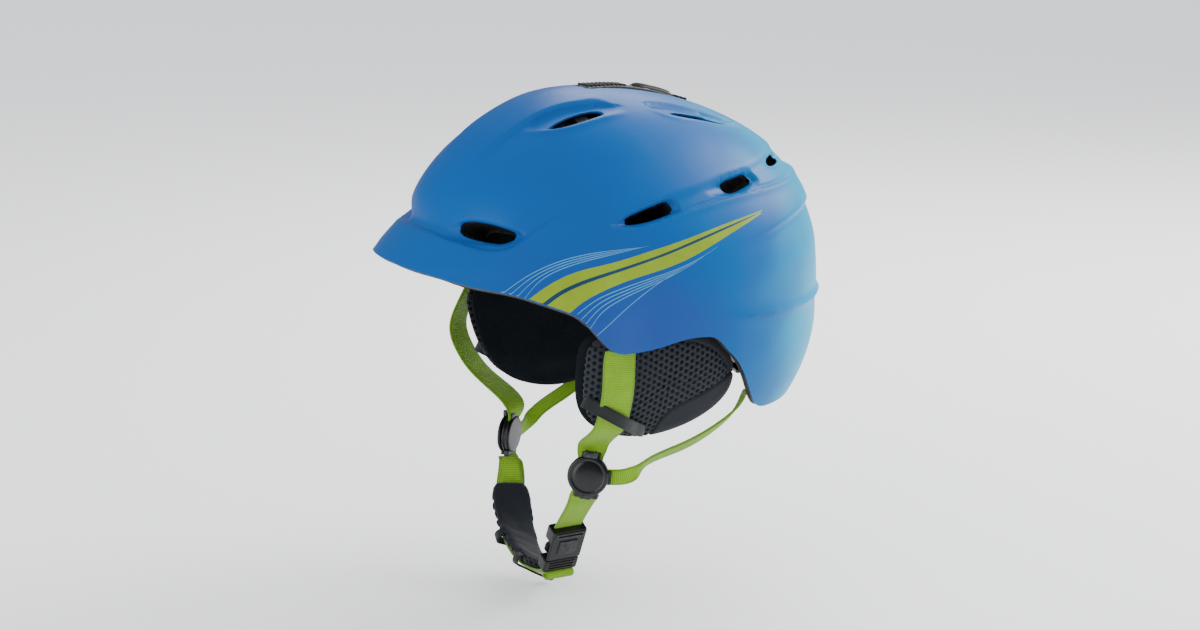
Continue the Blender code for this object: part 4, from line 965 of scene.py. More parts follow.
# ------------------------------------------------------------------ a bowl with real openings
class CutGrid:
    """A grid over (turn, drop) with the vents cut out."""

    def __init__(self, columns, rows, edge, grow):
        self.columns, self.rows, self.grow = columns, rows, grow
        turn = np.arange(columns) * 360.0 / columns - 180
        t = np.linspace(0, 1, rows)[:, None]
        lowest = edge(turn)[None, :]
        # rows run from the crown to the shoulder, to the knee and to the edge
        crown, shoulder, knee, top = 0.02, 0.20, 0.86, 0.10
        low = np.clip(0.06 + 0.42 * (lowest - knee), 0.05, 0.37)
        body = shoulder + (knee - shoulder) * (t - top) / (1 - low - top)
        foot = knee + (lowest - knee) * (t - 1 + low) / low
        drop = np.where(t < 1 - low, body, foot)
        self.drop = np.where(t < top, crown + (shoulder - crown) * t / top, drop).ravel()
        self.turn = np.broadcast_to(turn, (rows, columns)).copy().ravel()
        self.index = np.arange(rows * columns).reshape(rows, columns)
        self.removed = np.zeros(rows * columns, bool)
        self.on_rim = np.zeros(rows * columns, bool)
        for corners in VENTS.values():
            for mirror in (1, -1):
                self.cut(rounded(corners), mirror)
        self.faces = self.build_faces()

    def cut(self, corners, mirror):
        """Pulls grid points onto a vent's outline and marks those inside it."""
        per_turn, per_drop = mm_per_unit(corners)
        outline = corners * [mirror, 1] * [per_turn, per_drop]
        if self.grow:
            centre = outline.mean(0)
            radius = np.linalg.norm(outline - centre, axis=1, keepdims=True)
            outline = centre + (outline - centre) * (radius + self.grow) / radius
        cell = math.hypot(360.0 / self.columns * per_turn, (0.85 / self.rows) * per_drop) * 0.5
        low, high = outline.min(0) - 4 * cell, outline.max(0) + 4 * cell
        x, y = self.turn * per_turn, self.drop * per_drop
        near = np.flatnonzero((x > low[0]) & (x < high[0]) & (y > low[1]) & (y < high[1]))
        dist, rim_x, rim_y = outline_distance(x[near], y[near], outline)
        reach = np.full(len(x), 1e3)
        reach[near] = dist
        pull = np.zeros(len(x), bool)
        pull[near[np.abs(dist) < cell * 0.45]] = True
        grid = self.index
        for _ in range(2):
            for here, there in ((grid[:, :-1], grid[:, 1:]), (grid[:-1], grid[1:])):
                here, there = here.ravel(), there.ravel()
                hit = (reach[here] * reach[there] < 0) & ~pull[here] & ~pull[there]
                hit &= (np.abs(reach[here]) < 99) & (np.abs(reach[there]) < 99)
                here, there = here[hit], there[hit]
                pull[np.where(np.abs(reach[here]) < np.abs(reach[there]), here, there)] = True
        snap = pull[near]
        self.turn[near[snap]] = rim_x[snap] / per_turn
        self.drop[near[snap]] = rim_y[snap] / per_drop
        self.on_rim[near[snap]] = True
        self.removed[near[(dist < 0) & ~snap]] = True

    def mixes(self, triangle):
        """Whether a triangle has both removed and outside points."""
        removed = self.removed[triangle]
        return removed.any() and (~removed & ~self.on_rim[triangle]).any()

    def kept(self, triangle):
        removed, on_rim = self.removed[triangle], self.on_rim[triangle]
        if removed.any():
            return (~removed & ~on_rim).sum() >= 2
        return not on_rim.all()

    def build_faces(self):
        after = np.roll(self.index, -1, 1)
        corners = [self.index[:-1], self.index[1:], after[1:], after[:-1]]
        quads = np.stack(corners, -1).reshape(-1, 4)
        touched = (self.removed | self.on_rim)[quads]
        faces = [tuple(quad) for quad in quads[~touched.any(1)]]
        for quad in quads[touched.any(1) & ~touched.all(1)]:
            pairs = [(quad[[0, 1, 2]], quad[[0, 2, 3]]), (quad[[1, 2, 3]], quad[[1, 3, 0]])]
            best = min(pairs, key=lambda pair: sum(self.mixes(triangle) for triangle in pair))
            faces += [tuple(triangle) for triangle in best if self.kept(triangle)]
        return faces + [tuple(self.index[0])]  # the last face closes the crown


def open_loops(faces):
    """Ordered boundary loops, in the direction the faces use them."""
    edges = dict.fromkeys(pair for face in faces for pair in zip(face, face[1:] + face[:1]))
    following = {}
    for start, end in edges:
        if (end, start) not in edges:
            following.setdefault(start, []).append(end)
    loops = []
    for start in sorted(following):
        while following.get(start):
            loop, current = [start], following[start].pop()
            while current != start and following.get(current):
                loop.append(current)
                current = following[current].pop()
            if len(loop) > 3:
                loops.append(loop)
    return loops


def stitch(first, second, points):
    """Triangles between two loops of different counts that run the same way."""
    turn = int(((points[second] - points[first[0]]) ** 2).sum(1).argmin())
    second = second[turn:] + second[:turn]
    first_t, second_t = (travel(points[loop + loop[:1]]) for loop in (first, second))
    first_t, second_t = first_t / first_t[-1], second_t / second_t[-1]
    i = j = 0
    faces = []
    while i < len(first) or j < len(second):
        pair = first[i % len(first)], second[j % len(second)]
        if j >= len(second) or (i < len(first) and first_t[i + 1] <= second_t[j + 1]):
            i += 1
            faces.append((*pair, first[i % len(first)]))
        else:
            j += 1
            faces.append((*pair, second[j % len(second)]))
    return faces


def bowl(name, outer, inner, edge, outer_size, inner_size, grow, mat, rim=None):
    """A closed skin between two surfaces, with every vent open right through.

    The rim material goes on the lower edge and on the plain parts of the lower inner side."""
    out_grid, in_grid = CutGrid(*outer_size, edge, grow), CutGrid(*inner_size, edge, grow)
    out_points = outer(out_grid.turn, out_grid.drop)
    count = len(out_points)
    points = np.concatenate([out_points, inner(in_grid.turn, in_grid.drop)])
    out_loops = open_loops(out_grid.faces)
    in_loops = open_loops([tuple(i + count for i in face) for face in in_grid.faces])
    faces = out_grid.faces + [tuple(i + count for i in reversed(face)) for face in in_grid.faces]
    longest = max(map(len, out_loops))
    for loop in out_loops:
        def mismatch(other):
            sizes = [np.ptp(points[ring], axis=0).max() for ring in (other, loop)]
            apart = np.linalg.norm(points[other].mean(0) - points[loop].mean(0))
            return apart + abs(sizes[0] - sizes[1])

        match = min(in_loops, key=mismatch)
        in_loops.remove(match)
        first = len(faces)
        faces += stitch(loop, match, points)
        if len(loop) == longest:
            edge_faces = range(first, len(faces))
    obj = make(name, *compact(points, faces), mat, "helmet", sharp=48)
    if rim:
        obj.data.materials.append(rim)
        polygons = obj.data.polygons
        for i in edge_faces:
            polygons[i].material_index = 1
        plain = (relief(in_grid.turn, in_grid.drop) < 0.4) & (in_grid.drop > 0.98)
        for i, face in enumerate(in_grid.faces):
            if plain[list(face)].all():
                polygons[len(out_grid.faces) + i].material_index = 1
    return obj


def cut_slot(shell):
    """Opens the shell under the track for the slider's stem."""
    halves = (SLOT_HALF_X + SLOT_ROOM, SLOT_HALF_Y + SLOT_ROOM, 14)
    cutter = make("slot_cutter", *pill((0, SLOT_Y, 105), np.eye(3), halves, 1.2), PLASTIC)
    modify(shell, "BOOLEAN", operation="DIFFERENCE", object=cutter, solver="MANIFOLD")
    apply_all(shell)
    bpy.data.objects.remove(cutter)


def foam_outer(turn, drop):
    """The liner's outer side, with a shallow bed for the shutter plate under the crown."""
    point = surface(turn, drop)
    x, y = point[..., 0], point[..., 1]
    dist = np.minimum(rectangle(x, y, 59, -80, -5), rectangle(x, y, 11, -10, 51))
    bed = ramp(2.5, -0.5, dist) * (drop < 0.8)
    depth = FOAM_OUT + 0.9 * np.clip(relief(turn, drop), 0, 9)
    return inside(turn, drop, depth * (1 - bed) + 8.3 * bed)


shell = bowl(
    "shell_skin",
    lambda turn, drop: inside(turn, drop, relief(turn, drop)),
    lambda turn, drop: inside(turn, drop, SHELL_T + 0.6 * relief(turn, drop)),
    shell_edge, ((580, 130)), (290, 70), 0.0, PAINT, RUBBER,
)
cut_slot(shell)
declare(shell, "outer_shell")
liner = bowl(
    "foam_liner",
    foam_outer,
    lambda turn, drop: inside(turn, drop, FOAM_OUT + foam_thickness(turn, drop), False),
    foam_edge, (240, 50), (240, 50), 0.6, FOAM,
)
declare(liner, "eps_liner")


# ------------------------------------------------------------------ bands and lines on the paint
def lay_on_paint(name, turn, drop, lift, sink, mat):
    """A thin sheet from lift above the paint to sink below it, on both sides."""
    depth = relief(turn, drop)
    top, low = inside(turn, drop, depth - lift), inside(turn, drop, depth + sink)
    for side, sign in SIDES:
        flip = [sign, 1, 1]
        declare(slab(f"{name}_{side}", top * flip, low * flip, mat, "helmet"))


def band(name, upper, lower, mat, lift, rows=7, count=150):
    upper, lower = Line(upper, count), Line(lower, count)
    t = np.linspace(0, 1, rows)[None, :]
    turn = upper.turn[:, None] * (1 - t) + lower.turn[:, None] * t
    drop = upper.drop[:, None] * (1 - t) + lower.drop[:, None] * t
    drop = np.minimum(drop, shell_edge(turn) - 0.0035)
    lay_on_paint(name, turn, drop, lift, 0.25, mat)


def hairline(name, corners, width, count=110):
    line = Line(corners, count)
    t = np.linspace(0, 1, count)
    # 165 mm to a unit of drop
    half = width / 2 * ramp(0, 0.02, t) * (0.25 + 0.75 * ramp(1.0, 0.45, t)) / 165.0
    turn = np.stack([line.turn] * 3, 1)
    spread = np.array([[-1, 0, 1]]) * half[:, None]
    drop = np.minimum(line.drop[:, None] + spread, shell_edge(turn) - 0.0030 + spread)
    lay_on_paint(name, turn, drop, 0.10, 0.2, PALE)


UPPER_BAND_TOP = [
    (43, 0.998), (46.5, 0.962), (53, 0.920), (64, 0.893), (77.5, 0.864), (93, 0.832),
    (107, 0.802), (127, 0.772)]
UPPER_BAND_LOW = [
    (46.3, 1.012), (49.5, 0.980), (55, 0.948), (65, 0.917), (79.0, 0.884), (94, 0.845),
    (107.5, 0.812), (127.1, 0.775)]
LOWER_BAND_TOP = [
    (47.4, 1.018), (50.5, 0.988), (56.5, 0.955), (67, 0.923), (81, 0.888), (94, 0.854),
    (107.8, 0.819), (126, 0.779)]
LOWER_BAND_LOW = [
    (53.0, 1.045), (56.0, 1.015), (60, 0.990), (68, 0.960), (79, 0.935), (91.5, 0.903),
    (105.5, 0.852), (126.1, 0.783)]
band("lime_band_upper", UPPER_BAND_TOP, UPPER_BAND_LOW, LIME, 0.13)
band("lime_band_lower", LOWER_BAND_TOP, LOWER_BAND_LOW, LIME, 0.13)
band("band_gap", UPPER_BAND_LOW, LOWER_BAND_TOP, TEAL, 0.09, rows=3)
# sets of four lines: corners of the first, and the step in (turn, drop) from one to the next
for label, width, corners, steps in (
    ("upper", 0.62,
     [(36.4, 0.985), (42, 0.925), (52, 0.872), (64, 0.851), (76, 0.846)],
     [(1.9, 0.004), (1.2, 0.004), (1 / 3, 0.007), (0, 0.005), (0.8, -0.001)]),
    ("lower", 0.6,
     [(54.6, 1.052), (60, 1.008), (68.5, 0.977), (80, 0.950), (92, 0.918), (104, 0.872)],
     [(1.1, 0.018), (0.6, 0.013), (0, 0.011), (0, 0.007), (0, 0.003), (-3, 0.014)]),
):
    for i in range(4):
        hairline(f"pale_line_{label}_{i + 1}", np.array(corners) + i * np.array(steps), width)
hairline("pale_line_low", [(59.7, 1.13), (66, 1.07), (75, 1.005), (84, 0.955), (91, 0.928)], 0.6)


def edge_binding():
    """An elliptical tube round the shell's lower edge."""
    turn = np.arange(420) * 360.0 / 420 - 180
    edge = shell_edge(turn)
    centre = inside(turn, edge - 0.0095, SHELL_T + 1.75)
    down = unit(centre - inside(turn, edge - 0.02, SHELL_T + 1.75))
    angle = np.linspace(0, 2 * math.pi, 12, endpoint=False)[None, :, None]
    points = centre[:, None] + down[:, None] * (1.9 * np.cos(angle))
    points = points + normal_at(turn, edge)[:, None] * (1.15 * np.sin(angle))
    faces = ring_faces(*points.shape[:2], closed=True)
    declare(make("edge_binding", points, faces, RUBBER, "helmet"), "edge_trim")


edge_binding()

# ------------------------------------------------------------------ tapes
Ribbon = namedtuple("Ribbon", "centre along across normal")
# material, rib pitch, rib height, slot
WOVEN = (WEB, WEB_PITCH, 0.09, "webbing")
STRETCH = (ELASTIC, ELASTIC_PITCH, 0.05, "elastic")


def ribbon(points, across, count):
    """A smooth path with square directions, from stations and the width direction at each."""
    stations = np.concatenate([np.asarray(points, float), 40 * np.asarray(across, float)], 1)
    distance = travel(stations)
    t = np.linspace(0, distance[-1], count)
    both = np.stack([spline(distance, column)(t) for column in stations.T], -1)
    centre, across = both[:, :3], both[:, 3:]
    along = unit(np.gradient(centre, axis=0))
    across = unit(across - along * (across * along).sum(1, keepdims=True))
    return Ribbon(centre, along, across, np.cross(across, along))


def tape(name, path, body, replaces=None, width=WEB_W, thick=WEB_T, weave=WOVEN, taper=(1, 1)):
    """Tape with ribbed faces and rounded selvages; taper scales its width along its length."""
    mat, pitch, rib_height, slot = weave
    travelled = travel(path.centre)
    count = int(travelled[-1] / (pitch / 3.0)) + 2
    length = np.linspace(0, travelled[-1], count)
    centre, across, normal = (
        np.stack([np.interp(length, travelled, column) for column in field.T], -1)
        for field in (path.centre, path.across, path.normal)
    )
    across, normal = unit(across), unit(normal)
    half = np.full(count, width / 2.0)
    half = half * np.interp(length / length[-1], np.linspace(0, 1, len(taper)), taper)
    # section: place across, and share of the half thickness there
    place = np.array([-1, -0.985, -0.94, -0.86, -0.6, -0.3, 0, 0.3, 0.6, 0.86, 0.94, 0.985, 1])
    share = np.array(
        [0.12, 0.55, 0.88, 1.08, 0.98, 0.98, 0.98, 0.98, 0.98, 1.08, 0.88, 0.55, 0.12])
    ribs = rib_height * np.sin(2 * math.pi * length / pitch)[:, None]
    ribs = ribs * np.clip((1 - np.abs(place)) * 8, 0, 1)[None, :]
    rise = normal[:, None] * (thick / 2 * share + ribs)[..., None]
    middle = centre[:, None] + across[:, None] * (place[None] * half[:, None])[..., None]
    rings = np.concatenate([middle + rise, (middle - rise)[:, ::-1]], 1)
    sides = rings.shape[1]
    obj = make(name, rings, ring_faces(count, sides), mat, body)
    round_place = np.concatenate([place, place[::-1]])
    offset = (round_place[None] * half[:, None]).ravel()
    add_attribute(obj, "tape", np.repeat(length, sides), offset, np.repeat(half, sides))
    declare(obj, replaces)
    return obj


# ------------------------------------------------------------------ soft pieces
def inflate(obj, cap, pin=None, steps=20):
    """Swells a closed mesh as pressurised cloth; no point moves farther than cap."""
    rest = read_vertices(obj, "co")
    if pin is not None:
        group = obj.vertex_groups.new(name="pin")
        for i, weight in enumerate(pin(design(obj))):
            group.add([i], float(weight), "REPLACE")
    cloth = modify(obj, "CLOTH")
    settings = cloth.settings
    settings.quality = 5
    settings.mass = 0.3
    settings.air_damping = 1.5
    settings.tension_stiffness = settings.compression_stiffness = 12
    settings.shear_stiffness = 5
    settings.bending_stiffness = 0.4
    settings.use_pressure = True
    settings.uniform_pressure_force = 4.0
    settings.effector_weights.gravity = 0
    if pin is not None:
        settings.vertex_group_mass = "pin"
    cloth.point_cache.frame_start = 1
    cloth.point_cache.frame_end = steps
    scene = bpy.context.scene
    for i in range(1, steps + 1):
        scene.frame_set(i)
    apply_all(obj)
    scene.frame_set(1)
    move = read_vertices(obj, "co") - rest
    far = np.linalg.norm(move, axis=1, keepdims=True)
    write_coords(obj, rest + move * np.minimum(1.0, (cap / 1000) / np.maximum(far, 1e-9)))
    obj.vertex_groups.clear()
    modify(obj, "SMOOTH", factor=0.4, iterations=2)
    apply_all(obj)


def soft_body(name, cad, voxel, cap, shrink, relax=3, levels=1):
    """The CAD solid's form, slightly smaller, inflated as cloth and subdivided."""
    mesh = NODES[cad].data.copy()
    obj = add_object(name, mesh)
    editor = bmesh.new()
    editor.from_mesh(mesh)
    bmesh.ops.remove_doubles(editor, verts=editor.verts, dist=2e-5)
    bmesh.ops.recalc_face_normals(editor, faces=editor.faces)
    editor.normal_update()
    for vertex in editor.verts:
        vertex.co -= vertex.normal * (shrink / 1000)
    editor.to_mesh(mesh)
    editor.free()
    modify(obj, "REMESH", mode="VOXEL", voxel_size=voxel / 1000)
    apply_all(obj)
    modify(obj, "SMOOTH", factor=0.5, iterations=relax)
    apply_all(obj)
    inflate(obj, cap)
    refine(obj, levels)
    return obj


def refine(obj, levels):
    modify(obj, "SUBSURF", levels=levels, render_levels=levels)
    apply_all(obj)
    shade_smooth(obj.data)


def finish_soft(obj, replaces, mat=FLEECE, body="helmet"):
    obj.data.materials.clear()
    obj.data.materials.append(mat)
    declare(obj, replaces)
    if body:
        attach(obj, body)


# ear flap outlines as (y, z)
FLAP = rounded([
    (-56, -31), (-58, -46), (-58, -62), (-55, -78), (-47, -90), (-33, -98), (-14, -102),
    (6, -101), (26, -95), (42, -87), (51, -78), (52.5, -68), (49, -57), (42, -46), (32, -36),
    (18, -29), (0, -27), (-22, -27), (-42, -27)], 2, 0.25)
LOWER_PANEL = rounded([
    (-6, -118), (-7, -96), (-3, -86), (6, -79), (22, -74), (40, -66), (70, -52), (90, -118),
], 2, 0.25)
UPPER_RIM = rounded([
    (-70, -10), (-70, -34), (-50, -34.5), (-20, -35), (0, -35.5), (15, -38), (29, -45),
    (39, -55), (45, -64), (60, -66), (80, -10)], 2, 0.25)
# where the front and rear straps leave the left side of the helmet
FRONT_ANCHOR, REAR_ANCHOR = np.array([100.8, -41.5, -36.0]), np.array([86.0, 58.0, -77.0])
flap_side = spline([20, 45, 60, 80, 95, 110], [99, 99, 96.5, 89.5, 83, 76])


def pad_x(y, z):
    y, z = np.asarray(y, float), np.asarray(z, float)
    front = 10 * (np.clip(-30 - y, 0, 40) / 27) ** 2
    return flap_side(-z) - front - 6 * (np.clip(y - 15, 0, 60) / 35) ** 2


def side_x(y, z):
    """x of the shell's left side."""
    drop = math.acos(z / CROWN_Z) * 2 / math.pi
    points = surface(np.linspace(2, 178, 177), drop, False)
    return float(np.interp(y, points[:, 1], points[:, 0]))


def pad_face(y, z):
    """x of the left flap's outer face, kept 6.5 inside the shell."""
    y, z = np.asarray(y, float), np.asarray(z, float)
    room = [side_x(one_y, max(one_z, -84)) for one_y, one_z in zip(y.ravel(), z.ravel())]
    return np.minimum(pad_x(y, z), np.reshape(room, y.shape) - 6.5)


def on_pad(sign, y, z, lift):
    return sign * (pad_face(y, z) + lift), y, z


def hang(sign, points):
    """The right ear flap hangs a little further back towards its lower edge."""
    points = np.array(points, float)
    if sign < 0:
        points[..., 1] += 0.20 * np.clip(-40 - points[..., 2], 0, 70)
    return points


def flap_pin(points):
    dist, _, _ = outline_distance(points[:, 1], points[:, 2], FLAP)
    return ramp(-5.0, -1.5, dist)


def net_hole(across, up):
    """1 in the holes of the hexagonal net, 0 on its yarn."""
    rate = 2 * math.pi / (NET * 0.866)
    angles = [math.radians(angle) for angle in (0, 60, 120)]
    waves = sum(np.cos(rate * (across * math.cos(a) + up * math.sin(a))) for a in angles)
    return ramp(-0.1, 0.7, waves)


def dress_pad(obj):
    """Zones, net relief and seams of the left outer ear pad."""
    points = design(obj)
    x, y, z = np.abs(points[:, 0]), points[:, 1], points[:, 2]
    depth = np.minimum(pad_x(y, z), 104) - x
    wrap = np.clip(depth, 0, 14)
    across = y - wrap * ramp(-30, -46, y) + wrap * ramp(34, 46, y)
    up = z - wrap * ramp(-84, -94, z)
    to_panel, _, _ = outline_distance(y, z, LOWER_PANEL)
    to_rim, _, _ = outline_distance(y, z, UPPER_RIM)
    plain = np.maximum(ramp(0.5, -0.5, to_panel), ramp(0.5, -0.5, to_rim))
    outer = ramp(15, 11, depth)
    add_attribute(obj, "pad_uv", across, up, 0 * up)
    add_attribute(obj, "pad_zone", plain, outer, 0 * up)
    hole = net_hole(across, up) * (1 - plain) * outer
    seam = np.exp(-((np.minimum(np.abs(to_panel), np.abs(to_rim)) / 0.9) ** 2)) * outer
    push(obj, -0.75 * hole - 1.0 * seam + 0.25 * plain)


def cushion(name, inner, outer, shrink, cap):
    """A crowned cushion in the flap's outline, between two depths behind its outer face."""
    count, rings = 120, 13
    closed = np.vstack([FLAP, FLAP[:1]])
    distance = travel(closed)
    t = np.linspace(0, distance[-1], count, endpoint=False)
    rim = np.stack([np.interp(t, distance, column) for column in closed.T], 1)
    for _ in range(3):
        rim = (rim * 2 + np.roll(rim, 1, 0) + np.roll(rim, -1, 0)) / 4
    middle = np.array([-4.0, -63.0])
    radius = np.sin(np.linspace(0, math.pi / 2, rings + 1))[1:]
    flat = middle + (rim - middle)[None] * (radius * shrink)[:, None, None]
    y, z = flat[..., 0], flat[..., 1]
    face = pad_face(y, z)
    inset = (inner - outer) / 2 * (1 - np.sqrt(np.clip(1 - radius**7, 0, 1))[:, None])
    upper = np.stack([face - outer - inset, y, z], -1)
    lower = np.stack([face - inner + inset, y, z], -1)[:-1]
    top = float(pad_face(*middle))
    poles = [[top - outer, *middle], [top - inner, *middle]]
    points = np.concatenate([poles, upper.reshape(-1, 3), lower.reshape(-1, 3)])
    over = 2 + np.arange(rings * count).reshape(rings, count)
    under = over[-1, -1] + 1 + np.arange((rings - 1) * count).reshape(rings - 1, count)
    under = np.vstack([under, over[-1:]])
    faces = []
    for j in range(count):
        k = (j + 1) % count
        faces += [(0, over[0, j], over[0, k]), (1, under[0, k], under[0, j])]
        for i in range(rings - 1):
            faces.append((over[i, j], over[i + 1, j], over[i + 1, k], over[i, k]))
            faces.append((under[i, k], under[i + 1, k], under[i + 1, j], under[i, j]))
    obj = make(name, points, faces, MESH)
    inflate(obj, cap, flap_pin)
    return obj


def ear_flaps():
    """A net cushion over a fleece one on each side."""
    pad = cushion("ear_cushion_left", 11.4, 0.8, 0.980, 2.4)
    refine(pad, 2)
    dress_pad(pad)
    pad_right = mirrored(pad, "ear_cushion_right")
    lining = cushion("ear_fleece_left", 18.3, 11.5, 0.992, 2.2)
    refine(lining, 1)
    lining_right = mirrored(lining, "ear_fleece_right")
    for obj in (pad_right, lining_right):
        write_coords(obj, to_world(hang(-1, design(obj))))
    pairs = ((pad, lining), (pad_right, lining_right))
    for (side, sign), (outer, inner) in zip(SIDES, pairs):
        finish_soft(outer, "ear_pad_" + side, MESH, body=None)
        finish_soft(inner, "ear_lining_" + side, body=None)
        front, rear = FRONT_ANCHOR * [sign, 1, 1], REAR_ANCHOR * [sign, 1, 1]
        _, down, _ = basis(rear - front, (0, 0, -1))
        middle = (front + rear) / 2
        for obj in (outer, inner):
            blend(obj, "ear_" + side, middle - down * 9, middle + down * 16)


def inner_cushions():
    for place, voxel, cap in (("brow", 3.2, 2.0), ("crown", 3.0, 1.6), ("cradle", 2.6, 1.4)):
        obj = soft_body(place + "_cushion", place + "_pad", voxel, cap, shrink=0.6)
        if place == "brow":
            points = design(obj)
            turn = np.degrees(np.arctan2(points[:, 0], -points[:, 1]))
            seams = sum(np.exp(-(((turn - at) / 1.3) ** 2)) for at in (-46, -16, 16, 46))
            push(obj, -1.5 * seams)
        finish_soft(obj, place + "_pad")
    left = soft_body("side_cushion_left", "side_pad_left", 2.8, 1.6, shrink=0.5)
    right = mirrored(left, "side_cushion_right")
    finish_soft(left, "side_pad_left")
    finish_soft(right, "side_pad_right")


ear_flaps()
inner_cushions()

# ------------------------------------------------------------------ harness
Divider = namedtuple("Divider", "centre out up across back_sign back")


def divider_frame(centre, facing):
    out, up, across = basis(facing, (0, 0.15, 1))
    back_sign = 1 if across[1] > 0 else -1
    return Divider(np.array(centre, float), out, up, across, back_sign, across * back_sign)


DIVIDERS = {
    1: divider_frame((70, -47, -122), (0.82, -0.55, 0.10)),
    -1: divider_frame((-68, -31, -132), (-0.75, -0.65, 0.05)),
}
LEFT_LEG = ((-41.5, -46, 2.3), (-41.0, -60, 2.3), (-40.5, -75, 2.3), (-41.2, -89.5, 1.2))  # y, z, lift
RIGHT_LEG = [  # x, y, z
    (-102.2, -49.0, -46.0), (-102.0, -54.0, -60.0), (-98.0, -51.0, -76.0), (-91.5, -42.0, -92.0)]
REAR_LEGS = {  # by side: y, z, |x|
    1: ((-12, -114, 85), (10, -109, 84), (33, -101, 84), (50, -90, 85)),
    -1: ((2, -121, 85), (20, -112, 85), (37, -101, 85), (51, -89, 85)),
}
KEEPER = (  # y, z, lift off the flap's face
    (-55.4, -70.9, -5.0), (-55.5, -70.9, -2.2), (-53.8, -72.2, 0.9), (-50.0, -74.8, 5.0),
    (-41, -80.5, 7.3), (-32, -86.0, 6.6), (-22, -91.6, 2.4), (-16, -94.6, -0.4), (-12, -96.2, -3.6))
# divider profiles: radius, height
BODY_PROFILE = [
    (10.6, -2.7), (11.6, -2.6), (12.3, -2.0), (12.6, -1.2), (12.6, -0.2), (12.2, 0.1),
    (12.2, 0.7), (12.6, 1.0), (12.6, 2.1), (12.2, 2.9), (11.2, 3.2)]
LID_PROFILE = [
    (11.2, 3.4), (12.4, 3.5), (12.9, 3.9), (13.0, 4.5), (12.7, 5.2), (12.0, 5.7), (11.0, 5.9),
    (10.4, 5.8), (10.0, 5.45), (9.6, 5.4), (9.2, 5.65), (7.5, 6.0), (4.0, 6.25), (1.0, 6.32)]


def front_strap(side, sign, hub):
    if sign > 0:
        leg, wide = [on_pad(sign, *row) for row in LEFT_LEG], (0.30, 0.95, 0)
    else:
        leg, wide = RIGHT_LEG, (-0.5, 0.86, 0)
    above = hub.centre + hub.up * 20 - hub.out * 1.0 + np.array([sign * 1.5, 0, 0])
    points = [FRONT_ANCHOR * [sign, 1, 1], *leg, above, hub.centre + hub.up * 9.0]
    across = [(sign * 0.1, 1, 0)] + [wide] * 4
    across += [(hub.back + np.array([0, 1, 0])) / 2, hub.back]
    tape(
        "web_front_" + side, ribbon(points, across, 90), "ear_" + side,
        "strap_front_" + side, taper=[1] * 9 + [0.96, 0.76],
    )


def rear_strap(side, sign, hub):
    anchor = REAR_ANCHOR * [sign, 1, 1]
    points = [hub.centre + hub.back * 9.5, hub.centre + hub.back * 20.0 + hub.up * 1.5]
    points += [(sign * x, y, z) for y, z, x in REAR_LEGS[sign]] + [anchor]
    across = [hub.up] * 2 + [(sign * 0.6, 0.25, 0.75)] * 4 + [(sign * 0.27, 0.25, 0.9)]
    path = ribbon(points, across, 90)
    obj = tape("web_rear_" + side, path, None, "strap_rear_" + side, width=WEB_W * 0.5)
    blend(obj, "ear_" + side, anchor, (sign * 84.0, 14.0, -110.0))


def keeper(side, sign):
    """An elastic that crosses the flap over the front strap."""
    points = [hang(sign, on_pad(sign, *row)) for row in KEEPER]
    path = ribbon(points, [(0, 0.5, 0.86)] * len(points), 90)
    tape(
        "keeper_" + side, path, "ear_" + side, "pad_keeper_" + side,
        width=8.0, thick=1.0, weave=STRETCH,
    )


def divider(side, hub):
    """A grooved body and a domed lid with a hinge lug and a clasp."""
    axes = (hub.across, hub.up, hub.out)
    parts = [lathe(BODY_PROFILE, hub.centre, hub.out, hub.up)]
    parts += pills(hub.centre, axes, [
        ((0, -12.6, 0), (7.8, 2.2, 1.8), 0.9),
        ((0, 12.6, -0.45), (6.2, 2.2, 1.35), 0.9),
        ((12.4 * hub.back_sign, 0, 0), (2.0, 4.6, 1.7), 0.9),
    ])
    body = make("divider_body_" + side, *joined(parts), PLASTIC, "ear_" + side, sharp=60)
    declare(body, "divider_" + side)
    parts = [lathe(LID_PROFILE, hub.centre, hub.out, hub.up)]
    parts += pills(hub.centre, axes, [
        ((0, 13.6, 4.3), (4.4, 2.3, 1.5), 0.9),
        ((-2.9, 14.6, 4.4), (1.1, 1.5, 1.7), 0.7),
        ((2.9, 14.6, 4.4), (1.1, 1.5, 1.7), 0.7),
        ((0, -13.1, 4.4), (3.6, 1.7, 1.2), 0.8),
    ])
    lid = make("divider_cap_" + side, *joined(parts), GLOSS, "lid_" + side, sharp=60)
    declare(lid, "divider_lid_" + side)


for side, sign in SIDES:
    front_strap(side, sign, DIVIDERS[sign])
    rear_strap(side, sign, DIVIDERS[sign])
    keeper(side, sign)
    divider(side, DIVIDERS[sign])

# buckle frame: OUT leads away from the right divider, DOWN square to it, REARWARD along +Y
MOUTH = np.array([35.0, -49.0, -184.0])
REARWARD = np.array([0.0, 1.0, 0.0])
OUT = unit((MOUTH - DIVIDERS[-1].centre) * [1, 0, 1])
DOWN = np.array([OUT[2], 0, -OUT[0]])


def lower_left_strap():
    hub = DIVIDERS[1]
    top, tail = hub.centre - hub.up * 9.0, MOUTH - DOWN * 24.5
    points = [top, top * 0.62 + tail * 0.38 + OUT * 1.0, top * 0.3 + tail * 0.7 + OUT * 0.3, tail]
    path = ribbon(points, [hub.back, (0.05, 1, 0), (0, 1, 0), (0, 1, 0)], 60)
    taper = [0.76, 0.98] + [1] * 6
    tape("web_lower_left", path, "ear_left", "strap_lower_left", taper=taper)


